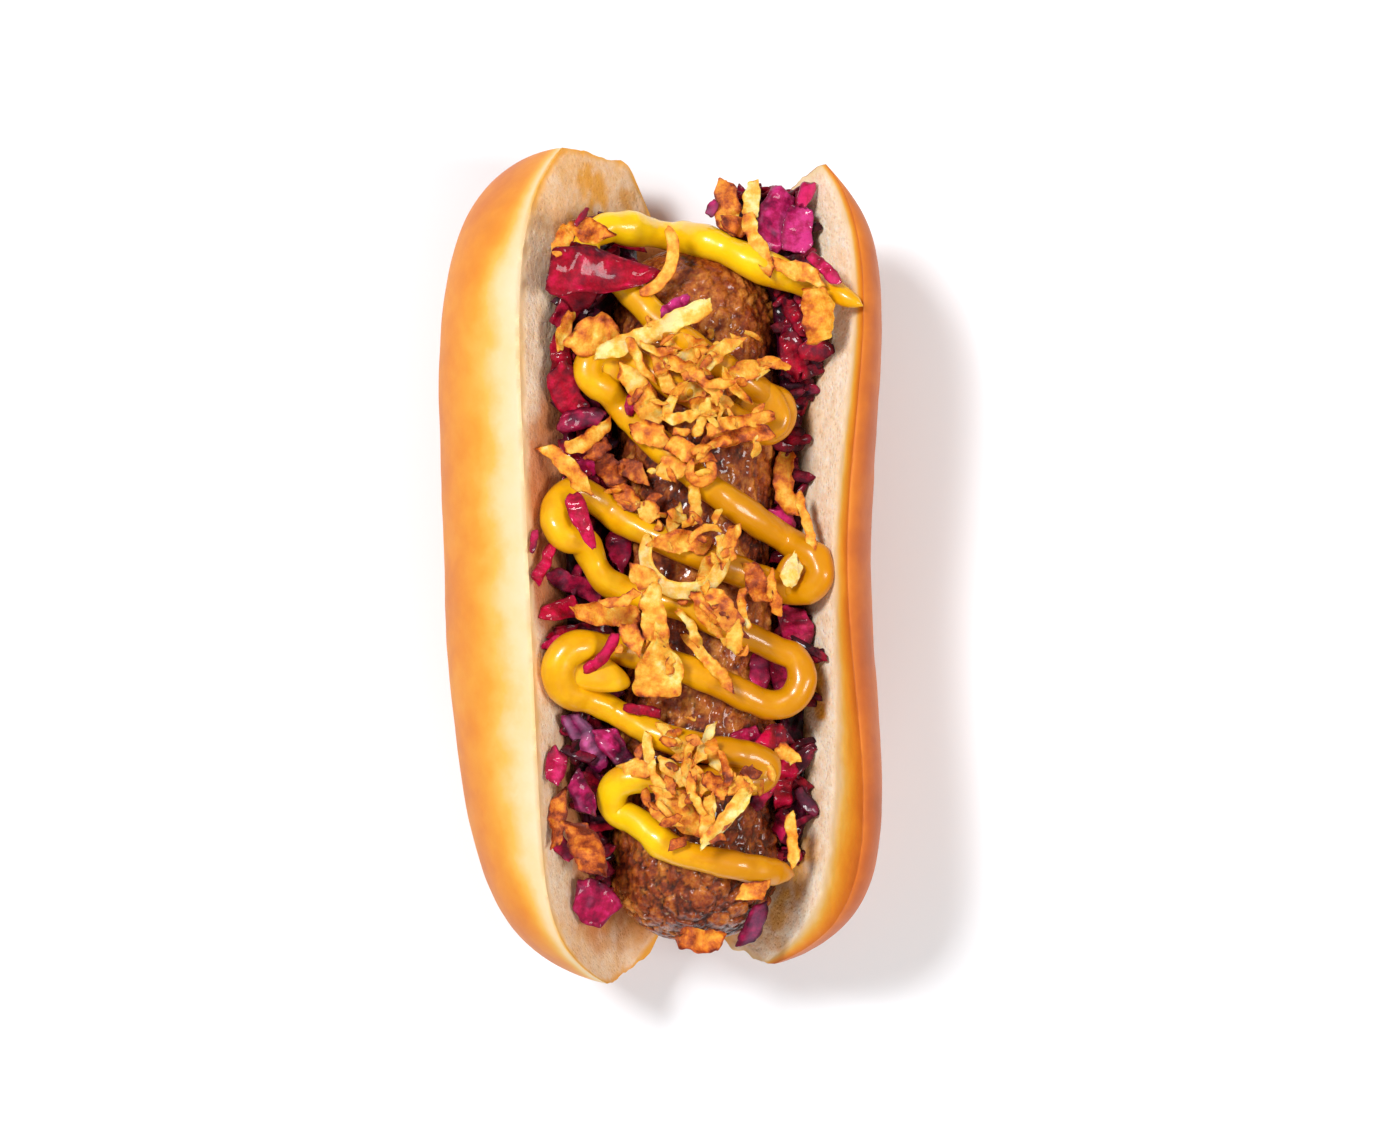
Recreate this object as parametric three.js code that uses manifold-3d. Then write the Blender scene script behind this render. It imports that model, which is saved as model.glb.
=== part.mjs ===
// A dressed hot dog: a bun split along one side and opened in a V, a coarse-minced sausage lying in it,
// shredded red cabbage packed down both sides, a zigzag bead of mustard across the top and curls of
// crisp fried onion.
//
// Millimetres. +X runs across the bun from its domed half to its flat half, +Y along it and +Z up. The
// origin is on the surface that the bun rests on, under the middle of the whole. The bun stands on a
// flat spot under its hinge.

import * as THREE from "three";
import { ParametricGeometry } from "three/addons/geometries/ParametricGeometry.js";
import { mergeGeometries, mergeVertices } from "three/addons/utils/BufferGeometryUtils.js";
import Module from "manifold-3d";

const { abs, sign, sin, cos, tan, sqrt, hypot, floor, ceil, round, min, max, PI } = Math;
const rad = THREE.MathUtils.degToRad;
const mix = THREE.MathUtils.lerp;
const smooth = (t) => THREE.MathUtils.smoothstep(t, 0, 1);

const wasm = await Module();
wasm.setup();

// -------------------------------------------------------------------------------------------------
// Driving dimensions
// -------------------------------------------------------------------------------------------------

const CLEARANCE = 0.3; // air between two pieces that touch

// The sausage is a rod along Y. Its axis is also the centre of the bun's rounded pocket.
const SAUSAGE = {
  x: 6.5,
  z: 28.5,
  radius: 15.3,
  lowEnd: -68.6,
  highEnd: 58,
  endLength: 15, // over which each end rounds off
  endPower: 2.3,
  lump: 0.4, // depth of the coarse mince's relief
  lumpSize: 4.5,
};

// The bun's section is a pocket wall, round under the sausage and straight above it, with a crust
// outside it. Each half has its own wall length, crust depth and end shape.
const BUN = {
  pocketRadius: 16,
  wallTurn: rad(62), // angle round the pocket at which the wall becomes straight
  hingeDepth: 16.5, // bread under the pocket
  hingeEnds: { high: 61.5, low: 66 }, // half lengths at the hinge
  dome: {
    wall: 50, // from the pocket's lowest line to the rim
    depth: 28,
    power: 2.3, // of the superellipse from the deepest line to the rim
    halfLength: { high: 75.2, low: 76 },
    notch: { high: [0.18, 0.44], low: [0.16, 0.4] }, // share of the wall over which an end steps out
    rimPull: { high: [0.38, 6], low: [0.43, 10] }, // share that the rim draws in, and how suddenly
    endRound: { high: [3, 3], low: [2.1, 2.1] },
  },
  base: {
    wall: 47,
    depth: 12.8,
    power: 2,
    halfLength: { high: 72.4, low: 73.4 },
    notch: { high: [0.05, 1], low: [0.16, 0.4] },
    rimPull: { high: [0.26, 9], low: [0.6, 7] },
    endRound: { high: [9, 1], low: [3, 3] },
  },
};
const DOME_SLANT = -0.045; // the domed half turns a little about the vertical
const BASE_WAVE = { depth: 1.5, peak: 49, length: 95 }; // the flat half is waisted in the middle

// Cabbage packed between the sausage and each wall: the height of its top beside the wall along the
// bun, as [y, z], and how much lower it is beside the sausage.
const HEAP = {
  bottom: 28.2,
  fall: { left: 5, right: 1.5 },
  gap: 0.5,
  lump: 0.9,
  lumpSize: 5,
  left: [[-60, 30], [-52, 36], [-42, 40.5], [-30, 42], [0, 42.5], [30, 42], [52, 42.5], [60, 39], [63, 33]],
  right: [[-53, 30], [-46, 34], [-30, 33.5], [-12, 36.5], [6, 33.5], [20, 31.5], [42, 38], [62, 37], [68, 31]],
  pastSausage: { left: -4, right: 11 }, // how far each heap reaches in beyond the sausage's high end
};

// The bead of mustard turns back at alternate sides. [x, y] is a point of its route, and [x, y, radius,
// heading] a turn: its outermost point, the radius that it turns on and the direction that it faces.
const MUSTARD = {
  radius: 2.5,
  endLength: 5, // over which each end tapers
  sides: 6,
  step: 3.2,
  route: [
    [36.4, 46], [28, 50.4], [18.5, 53.8], [10, 58], [0, 60.4], [-9, 61],
    [-13, 56, 4, 190],
    [1, 43],
    [22.4, 27.4, 3.4, 0],
    [-12.6, 35.2, 3.3, 175],
    [-5, 26.6], [9, 14],
    [29, -1.6, 3.6, -12],
    [-4, 7],
    [-18.3, 8.4, 4.4, 185],
    [-9.4, -2.6], [5, -7.6],
    [25.8, -20.4, 5, -5],
    [6, -18.8],
    [-17.8, -19.6, 4.7, 187],
    [2, -31],
    [19.4, -36.4, 2, 0],
    [-8.3, -42, 3.6, 185],
    [2, -50.4], [12, -53.2], [24.6, -55.8],
  ],
};

// Shreds. Each is [x, y, length, width, heading, bend, roll, taper], of which the last three may be
// left out: its middle and its size, then, in degrees, the direction that it points in, how far it
// turns in plan and how far it is rolled up from flat, and last the share of its width that it loses
// towards its far end, or near end if negative.
const CABBAGE_THICKNESS = 1.7;
const CABBAGE_UNDER = [
  [-17.4, 37, 10, 4, 85, 10],
  [-16, 30.5, 11, 6, -62, 20, 10, 0.2],
  [-14, 26.2, 8.5, 4.2, 10, -20, 15, 0.2],
  [-12.8, 18.8, 6, 4, -55, 20, 10],
  [-16.4, 45.5, 7, 4, 60],
  [-5, 58.4, 6, 2.2, -8, -30],
  [-20.2, 0.8, 9, 2.6, 66, 0, 20, 0.3],
  [-7.2, 3.6, 7.5, 4.8, 80, 0, 15],
  [-14.5, -3.6, 10, 4, -25, 0, 10, 0.2],
  [-17.2, -8, 8, 5, 12, 0, 12, -0.4],
  [-14, -12, 11, 3.5, 4, 10],
  [-18.6, -14.2, 4, 3, 30],
  [-12.8, -31.6, 12.5, 4.4, -58, 0, 15],
  [-7.4, -33.2, 9, 5, -50, 10, 0, 0.3],
  [-18.2, -35.8, 5.4, 4, 80],
  [-13.6, -40.6, 8, 4, -70],
  [-17, -50.4, 5, 3, -60],
  [24.6, 45, 7, 3.4, -62, 0, 20],
  [24.4, 38.4, 7.5, 4.6, -70],
  [28.4, 38.8, 6, 4.8, -15, 0, 10, 0.2],
  [21.2, 62.2, 13.5, 6.4, 74, 10, 20],
  [25.2, 60.6, 9, 5.4, 80, 0, 10],
  [22.8, 8, 5.4, 4, -50],
  [24.8, -11.4, 8.5, 6, -80],
  [18.4, -18.4, 8, 3.8, 85, 0, 10],
  [22.2, -20.4, 6, 3.6, -70],
  [16.2, -31, 6.4, 5, 22, 0, 10, 0.4],
  [20.9, -30.4, 4.8, 4.6, 0],
  [22.8, -39.4, 9.5, 3.8, 82, 0, 10],
  [18.8, -41.4, 6, 2.8, 50],
  [22.2, -46.6, 5, 3, 80],
];
const CABBAGE_OVER = [
  [-9.6, 51.8, 21, 10.4, 0, 0, 0, 0.7],
  [3, 46.2, 6, 2.8, 38, 0, 0, 0.2],
  [26.6, 67, 5, 3.6, 66, 0, 15, -0.4],
  [29.4, 53, 8, 2.2, -46, -10, 15],
  [-4.9, 28.8, 3.6, 2, 85],
  [-13.4, 7.8, 10.5, 4.6, -66, 0, 0, 0.6],
  [-9.6, -16, 9.5, 2.4, 48, 50, 15],
  [-2.4, -25.8, 7, 2, -12, -15],
  [-11.4, -61, 8.4, 7.6, -30],
  [17.4, -64.8, 8.6, 4, 68, 15, 15, 0.2],
];
const ONION_THICKNESS = 1.2;
const ONIONS = [
  [12.4, 65, 10, 5, 92, 0, 8],
  [16.8, 66, 7.5, 4, 84, 0, -10],
  [14, 61.2, 5, 3.4, -20],
  [17.8, 57.6, 12, 3, -68, 20, 12],
  [25.2, 52.4, 10, 3, -20, -10],
  [31.2, 45.4, 11.5, 2.4, -92, -200, 20],
  [-16.8, 57.6, 6.5, 3, 62, 20],
  [-12.4, 59.4, 7, 4.2, -22, 0, 10],
  [2.2, 53.2, 15, 2.4, -112, -110, 10],
  [-10.4, 40.8, 9.4, 7.6, -8, 0, 4],
  [-16.8, 42.2, 8, 2.4, 70, -35, 15],
  [4.4, 39.6, 8, 3.2, -12, 0, 10],
  [6.2, 37.4, 7, 2.8, 10],
  [10.6, 37.6, 9.5, 3.2, 40, 0, 10],
  [15, 34, 9, 3.8, 38, -20, 8],
  [20.8, 36.4, 7, 2, -12, -60, 15],
  [-4, 32.2, 8, 4.2, -48, -10],
  [-1.6, 28, 7.5, 4.2, -75],
  [5.2, 31, 6.4, 3.6, 0, 30],
  [12.4, 28.6, 8, 3, 8],
  [4.2, 26.4, 6.5, 2.6, 8, -20, 10],
  [14.2, 23, 13, 3.2, 8],
  [-1.2, 23.4, 6.4, 4.6, -10],
  [0.8, 34.6, 9, 3, -72, 10, 15],
  [6.8, 34.4, 13, 2.8, -32, -70, 15],
  [8, 26, 6.5, 2.2, 68, 0, 15],
  [14.4, 25.6, 13, 2.6, 14, -20, 12],
  [-1, 41.6, 22, 3.4, 24, 5, 18],
  [-12.2, 22.6, 11, 2.8, 32, 45, 10],
  [-16.2, 17.8, 13, 3.6, -45, -30, 10],
  [4.6, 20.6, 7.5, 3.6, -25, -20, 8],
  [2.4, 17.2, 6, 3.6, -20],
  [7.6, 14.8, 10.5, 2, 0, 300, 25],
  [6.4, 11, 8, 2.4, -86, 0, 10],
  [-1.6, 9.4, 4.6, 3.2, -50],
  [3, 8.4, 4.6, 2.8, 60],
  [22.8, 15.6, 13, 3.4, -88, 40, 10],
  [26.4, 8, 11, 2, -76, -10, 15],
  [4.6, 4.2, 10.5, 4.2, 2, -40],
  [9.4, -0.6, 5.6, 3.8, 30],
  [5, -4.4, 36, 3, 2, 300, 55],
  [12.4, 3.6, 8, 2.8, 68, 0, 15],
  [-2.8, -1.8, 5, 3.8, -30],
  [-9.2, -8.6, 12.5, 4.4, -4, 0, 0, -0.3],
  [-4.4, -12.6, 5.4, 3.4, -60],
  [-0.6, -9, 12, 4.6, -82],
  [0.4, -18.4, 11, 9.4, 86, 0, 0, 0.45],
  [8.6, -8.4, 9, 2.8, -62, 0, 12],
  [12.2, -8.4, 12, 4, -52, -25, 8],
  [13.8, -13.2, 5.6, 3.8, -75, 0, 5, 0.3],
  [17.4, -3.2, 7.5, 4.4, -70],
  [20.6, -5, 8, 2.2, -80, 0, 10],
  [24, -1, 5.4, 3.8, 70, 0, 0, 0.4],
  [9.2, -17.2, 13.5, 2.2, -47, 0, 15],
  [-1.4, -33.6, 8, 2.2, -84, 0, 15],
  [-3.6, -36, 5, 3.6, -20],
  [3, -36.8, 7, 3.2, -35],
  [2.8, -31.4, 8.5, 2.2, -56, 0, 15],
  [8.2, -31.8, 8, 2.2, 66, 0, 15],
  [9.8, -33.4, 6, 2.8, -80],
  [6.6, -37.4, 7.5, 2.6, -66, 0, 10],
  [10, -38.6, 4.8, 3, -50],
  [14, -39, 5.4, 3.2, 10],
  [3.4, -43.6, 9, 5.6, -58],
  [8.9, -44.4, 8, 3, 84],
  [11.8, -44.8, 13.5, 3.4, 50, 8, 10, -0.3],
  [23.4, -34, 5, 3, -40, 0, 10],
  [24, -49, 9.5, 2.2, -84],
  [-17.8, -45, 8.5, 3.6, 88, 0, 15],
  [-12.8, -50.4, 11, 5.6, -62, 0, 12],
  [17.2, -58.2, 5.6, 3.4, 12],
  [7.6, -67.4, 8.6, 4.6, -6, 15],
];
const SINK = 0.5; // how far a shred presses into what it lands on
const STEEPEST = 0.35; // slope that a shred can tip to
const SMALLEST_SCRAP = 8; // mm3: what is left of a shred below this is left out

// -------------------------------------------------------------------------------------------------
// Shared shape functions
// -------------------------------------------------------------------------------------------------

// Smooth random relief between -1 and 1 with bumps about one unit apart: values hashed at whole-number
// points.
function noise(x, y, z) {
  const at = (i, j, k) => {
    const h = sin(i * 127.1 + j * 311.7 + k * 74.7) * 43758.5453;
    return 2 * (h - floor(h)) - 1;
  };
  const [i, j, k] = [floor(x), floor(y), floor(z)];
  const [u, v, w] = [smooth(x - i), smooth(y - j), smooth(z - k)];
  const row = (b, c) => mix(at(i, j + b, k + c), at(i + 1, j + b, k + c), u);
  return mix(mix(row(0, 0), row(1, 0), v), mix(row(0, 1), row(1, 1), v), w);
}

// A straight-line table: the value at t of a list of [t, value] in rising order.
function table(points, t) {
  const next = points.findIndex(([x]) => x >= t);
  if (next === 0) return points[0][1];
  if (next < 0) return points.at(-1)[1];
  const [[x0, y0], [x1, y1]] = [points[next - 1], points[next]];
  return mix(y0, y1, (t - x0) / (x1 - x0));
}

// Moves each vertex of a geometry to where place(x, y, z) says.
function deform(geometry, place) {
  const p = geometry.attributes.position;
  for (let i = 0; i < p.count; i++) p.setXYZ(i, ...place(p.getX(i), p.getY(i), p.getZ(i)));
  return geometry;
}

function solidOf(geometry) {
  for (const name of ["normal", "uv"]) geometry.deleteAttribute(name);
  const merged = mergeVertices(geometry, 1e-3);
  return new wasm.Manifold(
    new wasm.Mesh({
      numProp: 3,
      vertProperties: merged.attributes.position.array,
      triVerts: new Uint32Array(merged.index.array),
    }),
  );
}

const union = (solids) => solids.reduce((whole, next) => whole.add(next));
const bodiesOf = (solid) => solid.decompose().sort((a, b) => b.volume() - a.volume());

function meshOf(name, solid, material) {
  const { vertProperties, triVerts, numProp } = solid.getMesh();
  const geometry = new THREE.BufferGeometry();
  const buffer = new THREE.InterleavedBuffer(vertProperties, numProp);
  geometry.setAttribute("position", new THREE.InterleavedBufferAttribute(buffer, 3, 0));
  geometry.setIndex(new THREE.BufferAttribute(triVerts, 1));
  const mesh = new THREE.Mesh(geometry.toNonIndexed(), material);
  mesh.geometry.computeVertexNormals();
  mesh.name = name;
  return mesh;
}

// -------------------------------------------------------------------------------------------------
// Bun
// -------------------------------------------------------------------------------------------------

// The pocket wall at signed distance s round it from its lowest line, about the sausage's axis, and the
// direction from there into the bread.
function pocketWall(s) {
  const { pocketRadius: r, wallTurn } = BUN;
  const turn = min(abs(s) / r, wallTurn);
  const straight = max(0, abs(s) - r * wallTurn);
  return {
    x: sign(s) * (r * sin(turn) + straight * cos(wallTurn)),
    z: -r * cos(turn) + straight * sin(wallTurn),
    outX: sign(s) * sin(turn),
    outZ: -cos(turn),
  };
}

// How far a half's wall is pushed across at its rim, at y.
function lean(left, y) {
  if (left) return DOME_SLANT * y;
  return BASE_WAVE.depth * cos((2 * PI * (y - BASE_WAVE.peak)) / BASE_WAVE.length);
}

// A point of the bun. a runs from the domed half's rim at -1 through the hinge at 0 to the flat half's
// rim at 1, and b from the low end at -1 to the high end at 1. The crust lies the local depth outside
// the wall, and that depth runs out at the rims and the ends.
function bunPoint(a, b, crust, grow = 0) {
  const left = a < 0;
  const half = left ? BUN.dome : BUN.base;
  const end = b > 0 ? "high" : "low";
  const share = abs(a);
  const [pull, pullPower] = half.rimPull[end];
  const s = a * (half.wall + grow) * (1 - pull * abs(b) ** pullPower);
  const [notchFrom, notchTo] = half.notch[end];
  const step = smooth((share - notchFrom) / (notchTo - notchFrom));
  const halfLength = mix(BUN.hingeEnds[end], half.halfLength[end], step) + grow;
  const y = b * halfLength;

  const rimward = max(0, share - 0.5) / 0.5;
  const full = (1 - rimward ** half.power) ** (1 / half.power);
  const depth = mix(BUN.hingeDepth, half.depth, smooth(share / 0.5)) * full;
  const roundness = ({ endRound }) => (1 - abs(b) ** endRound[end][0]) ** (1 / endRound[end][1]);
  const ends = mix(roundness(BUN.dome), roundness(BUN.base), smooth((a + 0.25) / 0.5));

  const wall = pocketWall(s);
  const out = crust ? depth * ends + grow : -grow;
  const x = SAUSAGE.x + wall.x + wall.outX * out + lean(left, y) * share ** 2;
  const z = SAUSAGE.z + wall.z + wall.outZ * out;
  return [x, y, crust ? max(0, z) : z];
}

// Two sheets, the cut face and the crust, which meet along the rims and the ends.
function makeBun(grow = 0) {
  const [across, along] = grow ? [22, 26] : [26, 28];
  const sheet = (crust) =>
    new ParametricGeometry(
      (u, v, target) => {
        const a = sin((PI / 2) * (2 * (crust ? 1 - u : u) - 1));
        const b = sin((PI / 2) * (2 * v - 1));
        target.set(...bunPoint(a, b, crust, grow));
      },
      across,
      along,
    );
  const sheets = [sheet(false), sheet(true)];
  if (!grow) return solidOf(mergeGeometries(sheets));
  // A grown bun is only ever cut away with: its sheets stand apart, so the gap round their edge is walled up.
  return solidOf(mergeGeometries([...sheets, ...edgeWalls(across, along, grow)]));
}

// The strips that join the two sheets of a grown bun along its rims and ends.
function edgeWalls(across, along, grow) {
  const at = (k, n) => sin((PI / 2) * ((2 * k) / n - 1));
  const strip = (count, place, turned) =>
    new ParametricGeometry(
      (u, v, target) => target.set(...place(round(u * count), round(turned ? 1 - v : v) === 1)),
      count,
      1,
    );
  return [
    strip(across, (k, crust) => bunPoint(at(k, across), -1, crust, grow), true),
    strip(across, (k, crust) => bunPoint(at(k, across), 1, crust, grow), false),
    strip(along, (k, crust) => bunPoint(-1, at(k, along), crust, grow), false),
    strip(along, (k, crust) => bunPoint(1, at(k, along), crust, grow), true),
  ];
}

// -------------------------------------------------------------------------------------------------
// Sausage
// -------------------------------------------------------------------------------------------------

// Radius at y: full along the middle and a superellipse over each end.
function sausageRadius(y) {
  const fromEnd = min(y - SAUSAGE.lowEnd, SAUSAGE.highEnd - y);
  if (fromEnd <= 0) return 0;
  const t = max(0, 1 - fromEnd / SAUSAGE.endLength);
  return SAUSAGE.radius * (1 - t ** SAUSAGE.endPower) ** (1 / SAUSAGE.endPower);
}

// A lathe about Y whose middle rings are pushed in and out by the relief.
function makeSausage(grow = 0) {
  const [rings, sides] = [32, 22];
  const middle = (SAUSAGE.lowEnd + SAUSAGE.highEnd) / 2;
  const halfLength = (SAUSAGE.highEnd - SAUSAGE.lowEnd) / 2;
  const profile = [];
  for (let k = 0; k <= rings; k++) {
    const t = (2 * k) / rings - 1;
    const y = middle + halfLength * sin((PI / 2) * mix(t, sign(t) * abs(t) ** 0.5, 0.35));
    profile.push(new THREE.Vector2(k % rings ? sausageRadius(y) : 0, y));
  }
  const lathe = new THREE.LatheGeometry(profile, sides);
  return solidOf(
    deform(lathe, (x, y, z) => {
      const r = hypot(x, z);
      const relief = SAUSAGE.lump * noise(x / SAUSAGE.lumpSize, y / SAUSAGE.lumpSize, z / SAUSAGE.lumpSize);
      const k = r < 1e-6 ? 1 : (r + relief * min(1, r / 8) + grow) / r;
      const stretch = r < 1e-6 ? sign(y - middle) * grow : 0;
      return [SAUSAGE.x + x * k, y + stretch, SAUSAGE.z + z * k];
    }),
  );
}

// -------------------------------------------------------------------------------------------------
// What things land on
// -------------------------------------------------------------------------------------------------

// The rounded part of the pocket reaches this far to each side, and its wall slopes straight from
// there.
const TANGENT = { across: BUN.pocketRadius * sin(BUN.wallTurn), below: BUN.pocketRadius * cos(BUN.wallTurn) };

// The push across that a half's wall has at this distance from the pocket's middle.
function leanAt(left, y, across) {
  const half = left ? BUN.dome : BUN.base;
  const s = BUN.pocketRadius * BUN.wallTurn + (across - TANGENT.across) / cos(BUN.wallTurn);
  return lean(left, y) * min(1, max(0, s / half.wall)) ** 2;
}

// The height of the bun's wall and rims at a place, seen from above.
function bunTop(x, y) {
  const left = x < SAUSAGE.x;
  const half = left ? BUN.dome : BUN.base;
  const across = abs(x - SAUSAGE.x - leanAt(left, y, abs(x - SAUSAGE.x)));
  if (across < TANGENT.across) return SAUSAGE.z - sqrt(BUN.pocketRadius ** 2 - across ** 2);
  const rim = TANGENT.across + (half.wall - BUN.pocketRadius * BUN.wallTurn) * cos(BUN.wallTurn);
  const up = (min(across, rim) - TANGENT.across) * tan(BUN.wallTurn) - TANGENT.below;
  return SAUSAGE.z + up - 0.5 * max(0, across - rim);
}

function sausageTop(x, y) {
  const r = sausageRadius(y);
  const across = abs(x - SAUSAGE.x);
  return across < r ? SAUSAGE.z + sqrt(r * r - across * across) : 0;
}

// A map of heights over the whole hot dog, which each piece that is laid on it raises.
class HeightMap {
  constructor() {
    Object.assign(this, { cell: 0.5, x0: -48, y0: -82, columns: 192, rows: 328 });
    this.z = new Float64Array(this.columns * this.rows);
    for (let j = 0; j < this.rows; j++) {
      for (let i = 0; i < this.columns; i++) {
        const [x, y] = [this.x0 + i * this.cell, this.y0 + j * this.cell];
        const heaps = max(heapTop("left", x, y), heapTop("right", x, y));
        this.z[j * this.columns + i] = max(bunTop(x, y), sausageTop(x, y), heaps);
      }
    }
  }

  index(x, y) {
    const i = min(this.columns - 1, max(0, round((x - this.x0) / this.cell)));
    const j = min(this.rows - 1, max(0, round((y - this.y0) / this.cell)));
    return j * this.columns + i;
  }

  at(x, y) {
    return this.z[this.index(x, y)];
  }

  raise(x, y, z) {
    const k = this.index(x, y);
    this.z[k] = max(this.z[k], z);
  }
}

// -------------------------------------------------------------------------------------------------
// Cabbage heaps
// -------------------------------------------------------------------------------------------------

// A heap's side against the sausage and its side against the wall at height z.
function heapSides(which, y, z) {
  const left = which === "left";
  const side = left ? -1 : 1;
  const r = sausageRadius(min(y, SAUSAGE.highEnd - 3));
  const rise = z - SAUSAGE.z;
  const beside = SAUSAGE.x + side * (sqrt(max(0, r * r - rise * rise)) + HEAP.gap);
  const inner = mix(beside, HEAP.pastSausage[which], smooth((y - (SAUSAGE.highEnd - 6)) / 8));
  const across = TANGENT.across + (rise + TANGENT.below) / tan(BUN.wallTurn) - HEAP.gap / sin(BUN.wallTurn);
  return [inner, SAUSAGE.x + side * across + leanAt(left, y, across)];
}

// The height of a heap's top at y, at this share of the way from the sausage to the wall.
function heapHeight(which, y, across) {
  const lump = HEAP.lump * noise((across * 8) / HEAP.lumpSize, y / HEAP.lumpSize, which.length);
  return table(HEAP[which], y) - HEAP.fall[which] * (1 - across) + lump;
}

function heapTop(which, x, y) {
  const tops = HEAP[which];
  if (y < tops[0][0] || y > tops.at(-1)[0]) return 0;
  const [inner, outer] = heapSides(which, y, table(tops, y) - HEAP.fall[which] / 2);
  const across = (x - inner) / (outer - inner);
  return across > 0 && across < 1 ? heapHeight(which, y, across) : 0;
}

// A box whose length follows the heap and whose sides follow the sausage and the wall.
function makeHeap(which) {
  const tops = HEAP[which];
  const [low, high] = [tops[0][0], tops.at(-1)[0]];
  const box = new THREE.BoxGeometry(1, 1, 1, 3, ceil((high - low) / 5), 2);
  const turned = which === "left" ? -1 : 1;
  return solidOf(
    deform(box, (u, v, w) => {
      const y = mix(low, high, v + 0.5);
      const across = 0.5 + turned * u;
      const z = mix(HEAP.bottom, heapHeight(which, y, across), w + 0.5);
      const [inner, outer] = heapSides(which, y, z);
      return [mix(inner, outer, across), y, z];
    }),
  );
}

// -------------------------------------------------------------------------------------------------
// Shreds
// -------------------------------------------------------------------------------------------------

// Turns a flat strip's own point (along, across, up) into the shape that it is bent, rolled and pitched
// to, about its middle.
function shredPoint([, , length, width, heading, bend = 0, roll = 0, taper = 0], pitch, along, across, up) {
  const t = (2 * along) / length;
  const narrowing = taper >= 0 ? 1 - taper * (t + 1) / 2 : 1 + taper * (1 - t) / 2;
  const rounding = mix(1, sqrt(max(0, 1 - t * t)), 0.35);
  const v = across * width * narrowing * rounding;
  const side = v * cos(rad(roll)) - up * sin(rad(roll));
  const rise = v * sin(rad(roll)) + up * cos(rad(roll));
  const turn = rad(bend);
  const curve = abs(turn) < 1e-3 ? [along, side] : arc(length / turn, (turn * t) / 2, side);
  const h = rad(heading);
  const [u, w] = [curve[0] * cos(pitch), rise + curve[0] * sin(pitch)];
  return [u * cos(h) - curve[1] * sin(h), u * sin(h) + curve[1] * cos(h), w];
}

// A point at angle round an arc of radius r that starts along +X, side to its left, measured from the
// arc's middle.
function arc(r, angle, side) {
  return [(r - side) * sin(angle), r - (r - side) * cos(angle)];
}

// Lets a shred down on the map: it tips to the slope under its ends, then drops until it touches.
// Returns the height of its middle and its pitch, and raises the map to the given level of its
// thickness, -0.5 to 0.5.
function drop(map, shred, thickness, level) {
  const [x, y, length, width, heading, bend = 0] = shred;
  const h = rad(heading);
  const meanHeight = (direction) => {
    const at = [0.15, 0.3, 0.45].map((d) => direction * d * length);
    return at.reduce((sum, d) => sum + map.at(x + d * cos(h), y + d * sin(h)), 0) / at.length;
  };
  const slope = (meanHeight(1) - meanHeight(-1)) / (0.6 * length);
  const pitch = abs(bend) > 90 ? 0 : max(-STEEPEST, min(STEEPEST, slope));
  const [steps, rows] = [ceil(length / 0.45), ceil(width / 0.45)];
  const samples = [];
  let z = 0;
  for (let i = 0; i <= steps; i++) {
    for (let j = 0; j <= rows; j++) {
      const [along, across] = [length * (i / steps - 0.5), j / rows - 0.5];
      const [px, py, pz] = shredPoint(shred, pitch, along, across, -thickness / 2);
      const top = shredPoint(shred, pitch, along, across, thickness * level);
      samples.push([x + top[0], y + top[1], top[2]]);
      z = max(z, map.at(x + px, y + py) - pz);
    }
  }
  z -= SINK;
  for (const [px, py, pz] of samples) map.raise(px, py, z + pz);
  return { shred, pitch, z, thickness };
}

// A box with segments along it, bent into a dropped shred.
function makeShred({ shred, pitch, z, thickness }, grow = 0) {
  const [x, y, length, width, , bend = 0] = shred;
  const pieces = max(3, ceil(max(length / 4, abs(bend) / 28)));
  const box = new THREE.BoxGeometry(length + 2 * grow, 1, thickness + 2 * grow, pieces, 1, 1);
  return solidOf(
    deform(box, (u, v, w) => {
      const across = v * (1 + (2 * grow) / width);
      const p = shredPoint(shred, pitch, u, across, w);
      return [x + p[0], y + p[1], z + p[2]];
    }),
  );
}

// -------------------------------------------------------------------------------------------------
// Mustard
// -------------------------------------------------------------------------------------------------

// The bead's route in plan, in which each turn is half a circle.
function mustardPlan() {
  const points = MUSTARD.route.flatMap(([x, y, r, heading]) => {
    if (r === undefined) return [[x, y]];
    const downwards = cos(rad(heading)) > 0 ? -1 : 1;
    return [-90, -45, 0, 45, 90].map((turned) => {
      const angle = rad(heading + downwards * turned);
      return [x - r * cos(rad(heading)) + r * cos(angle), y - r * sin(rad(heading)) + r * sin(angle)];
    });
  });
  return new THREE.CatmullRomCurve3(points.map(([x, y]) => new THREE.Vector3(x, y, 0)), false, "centripetal");
}

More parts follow.
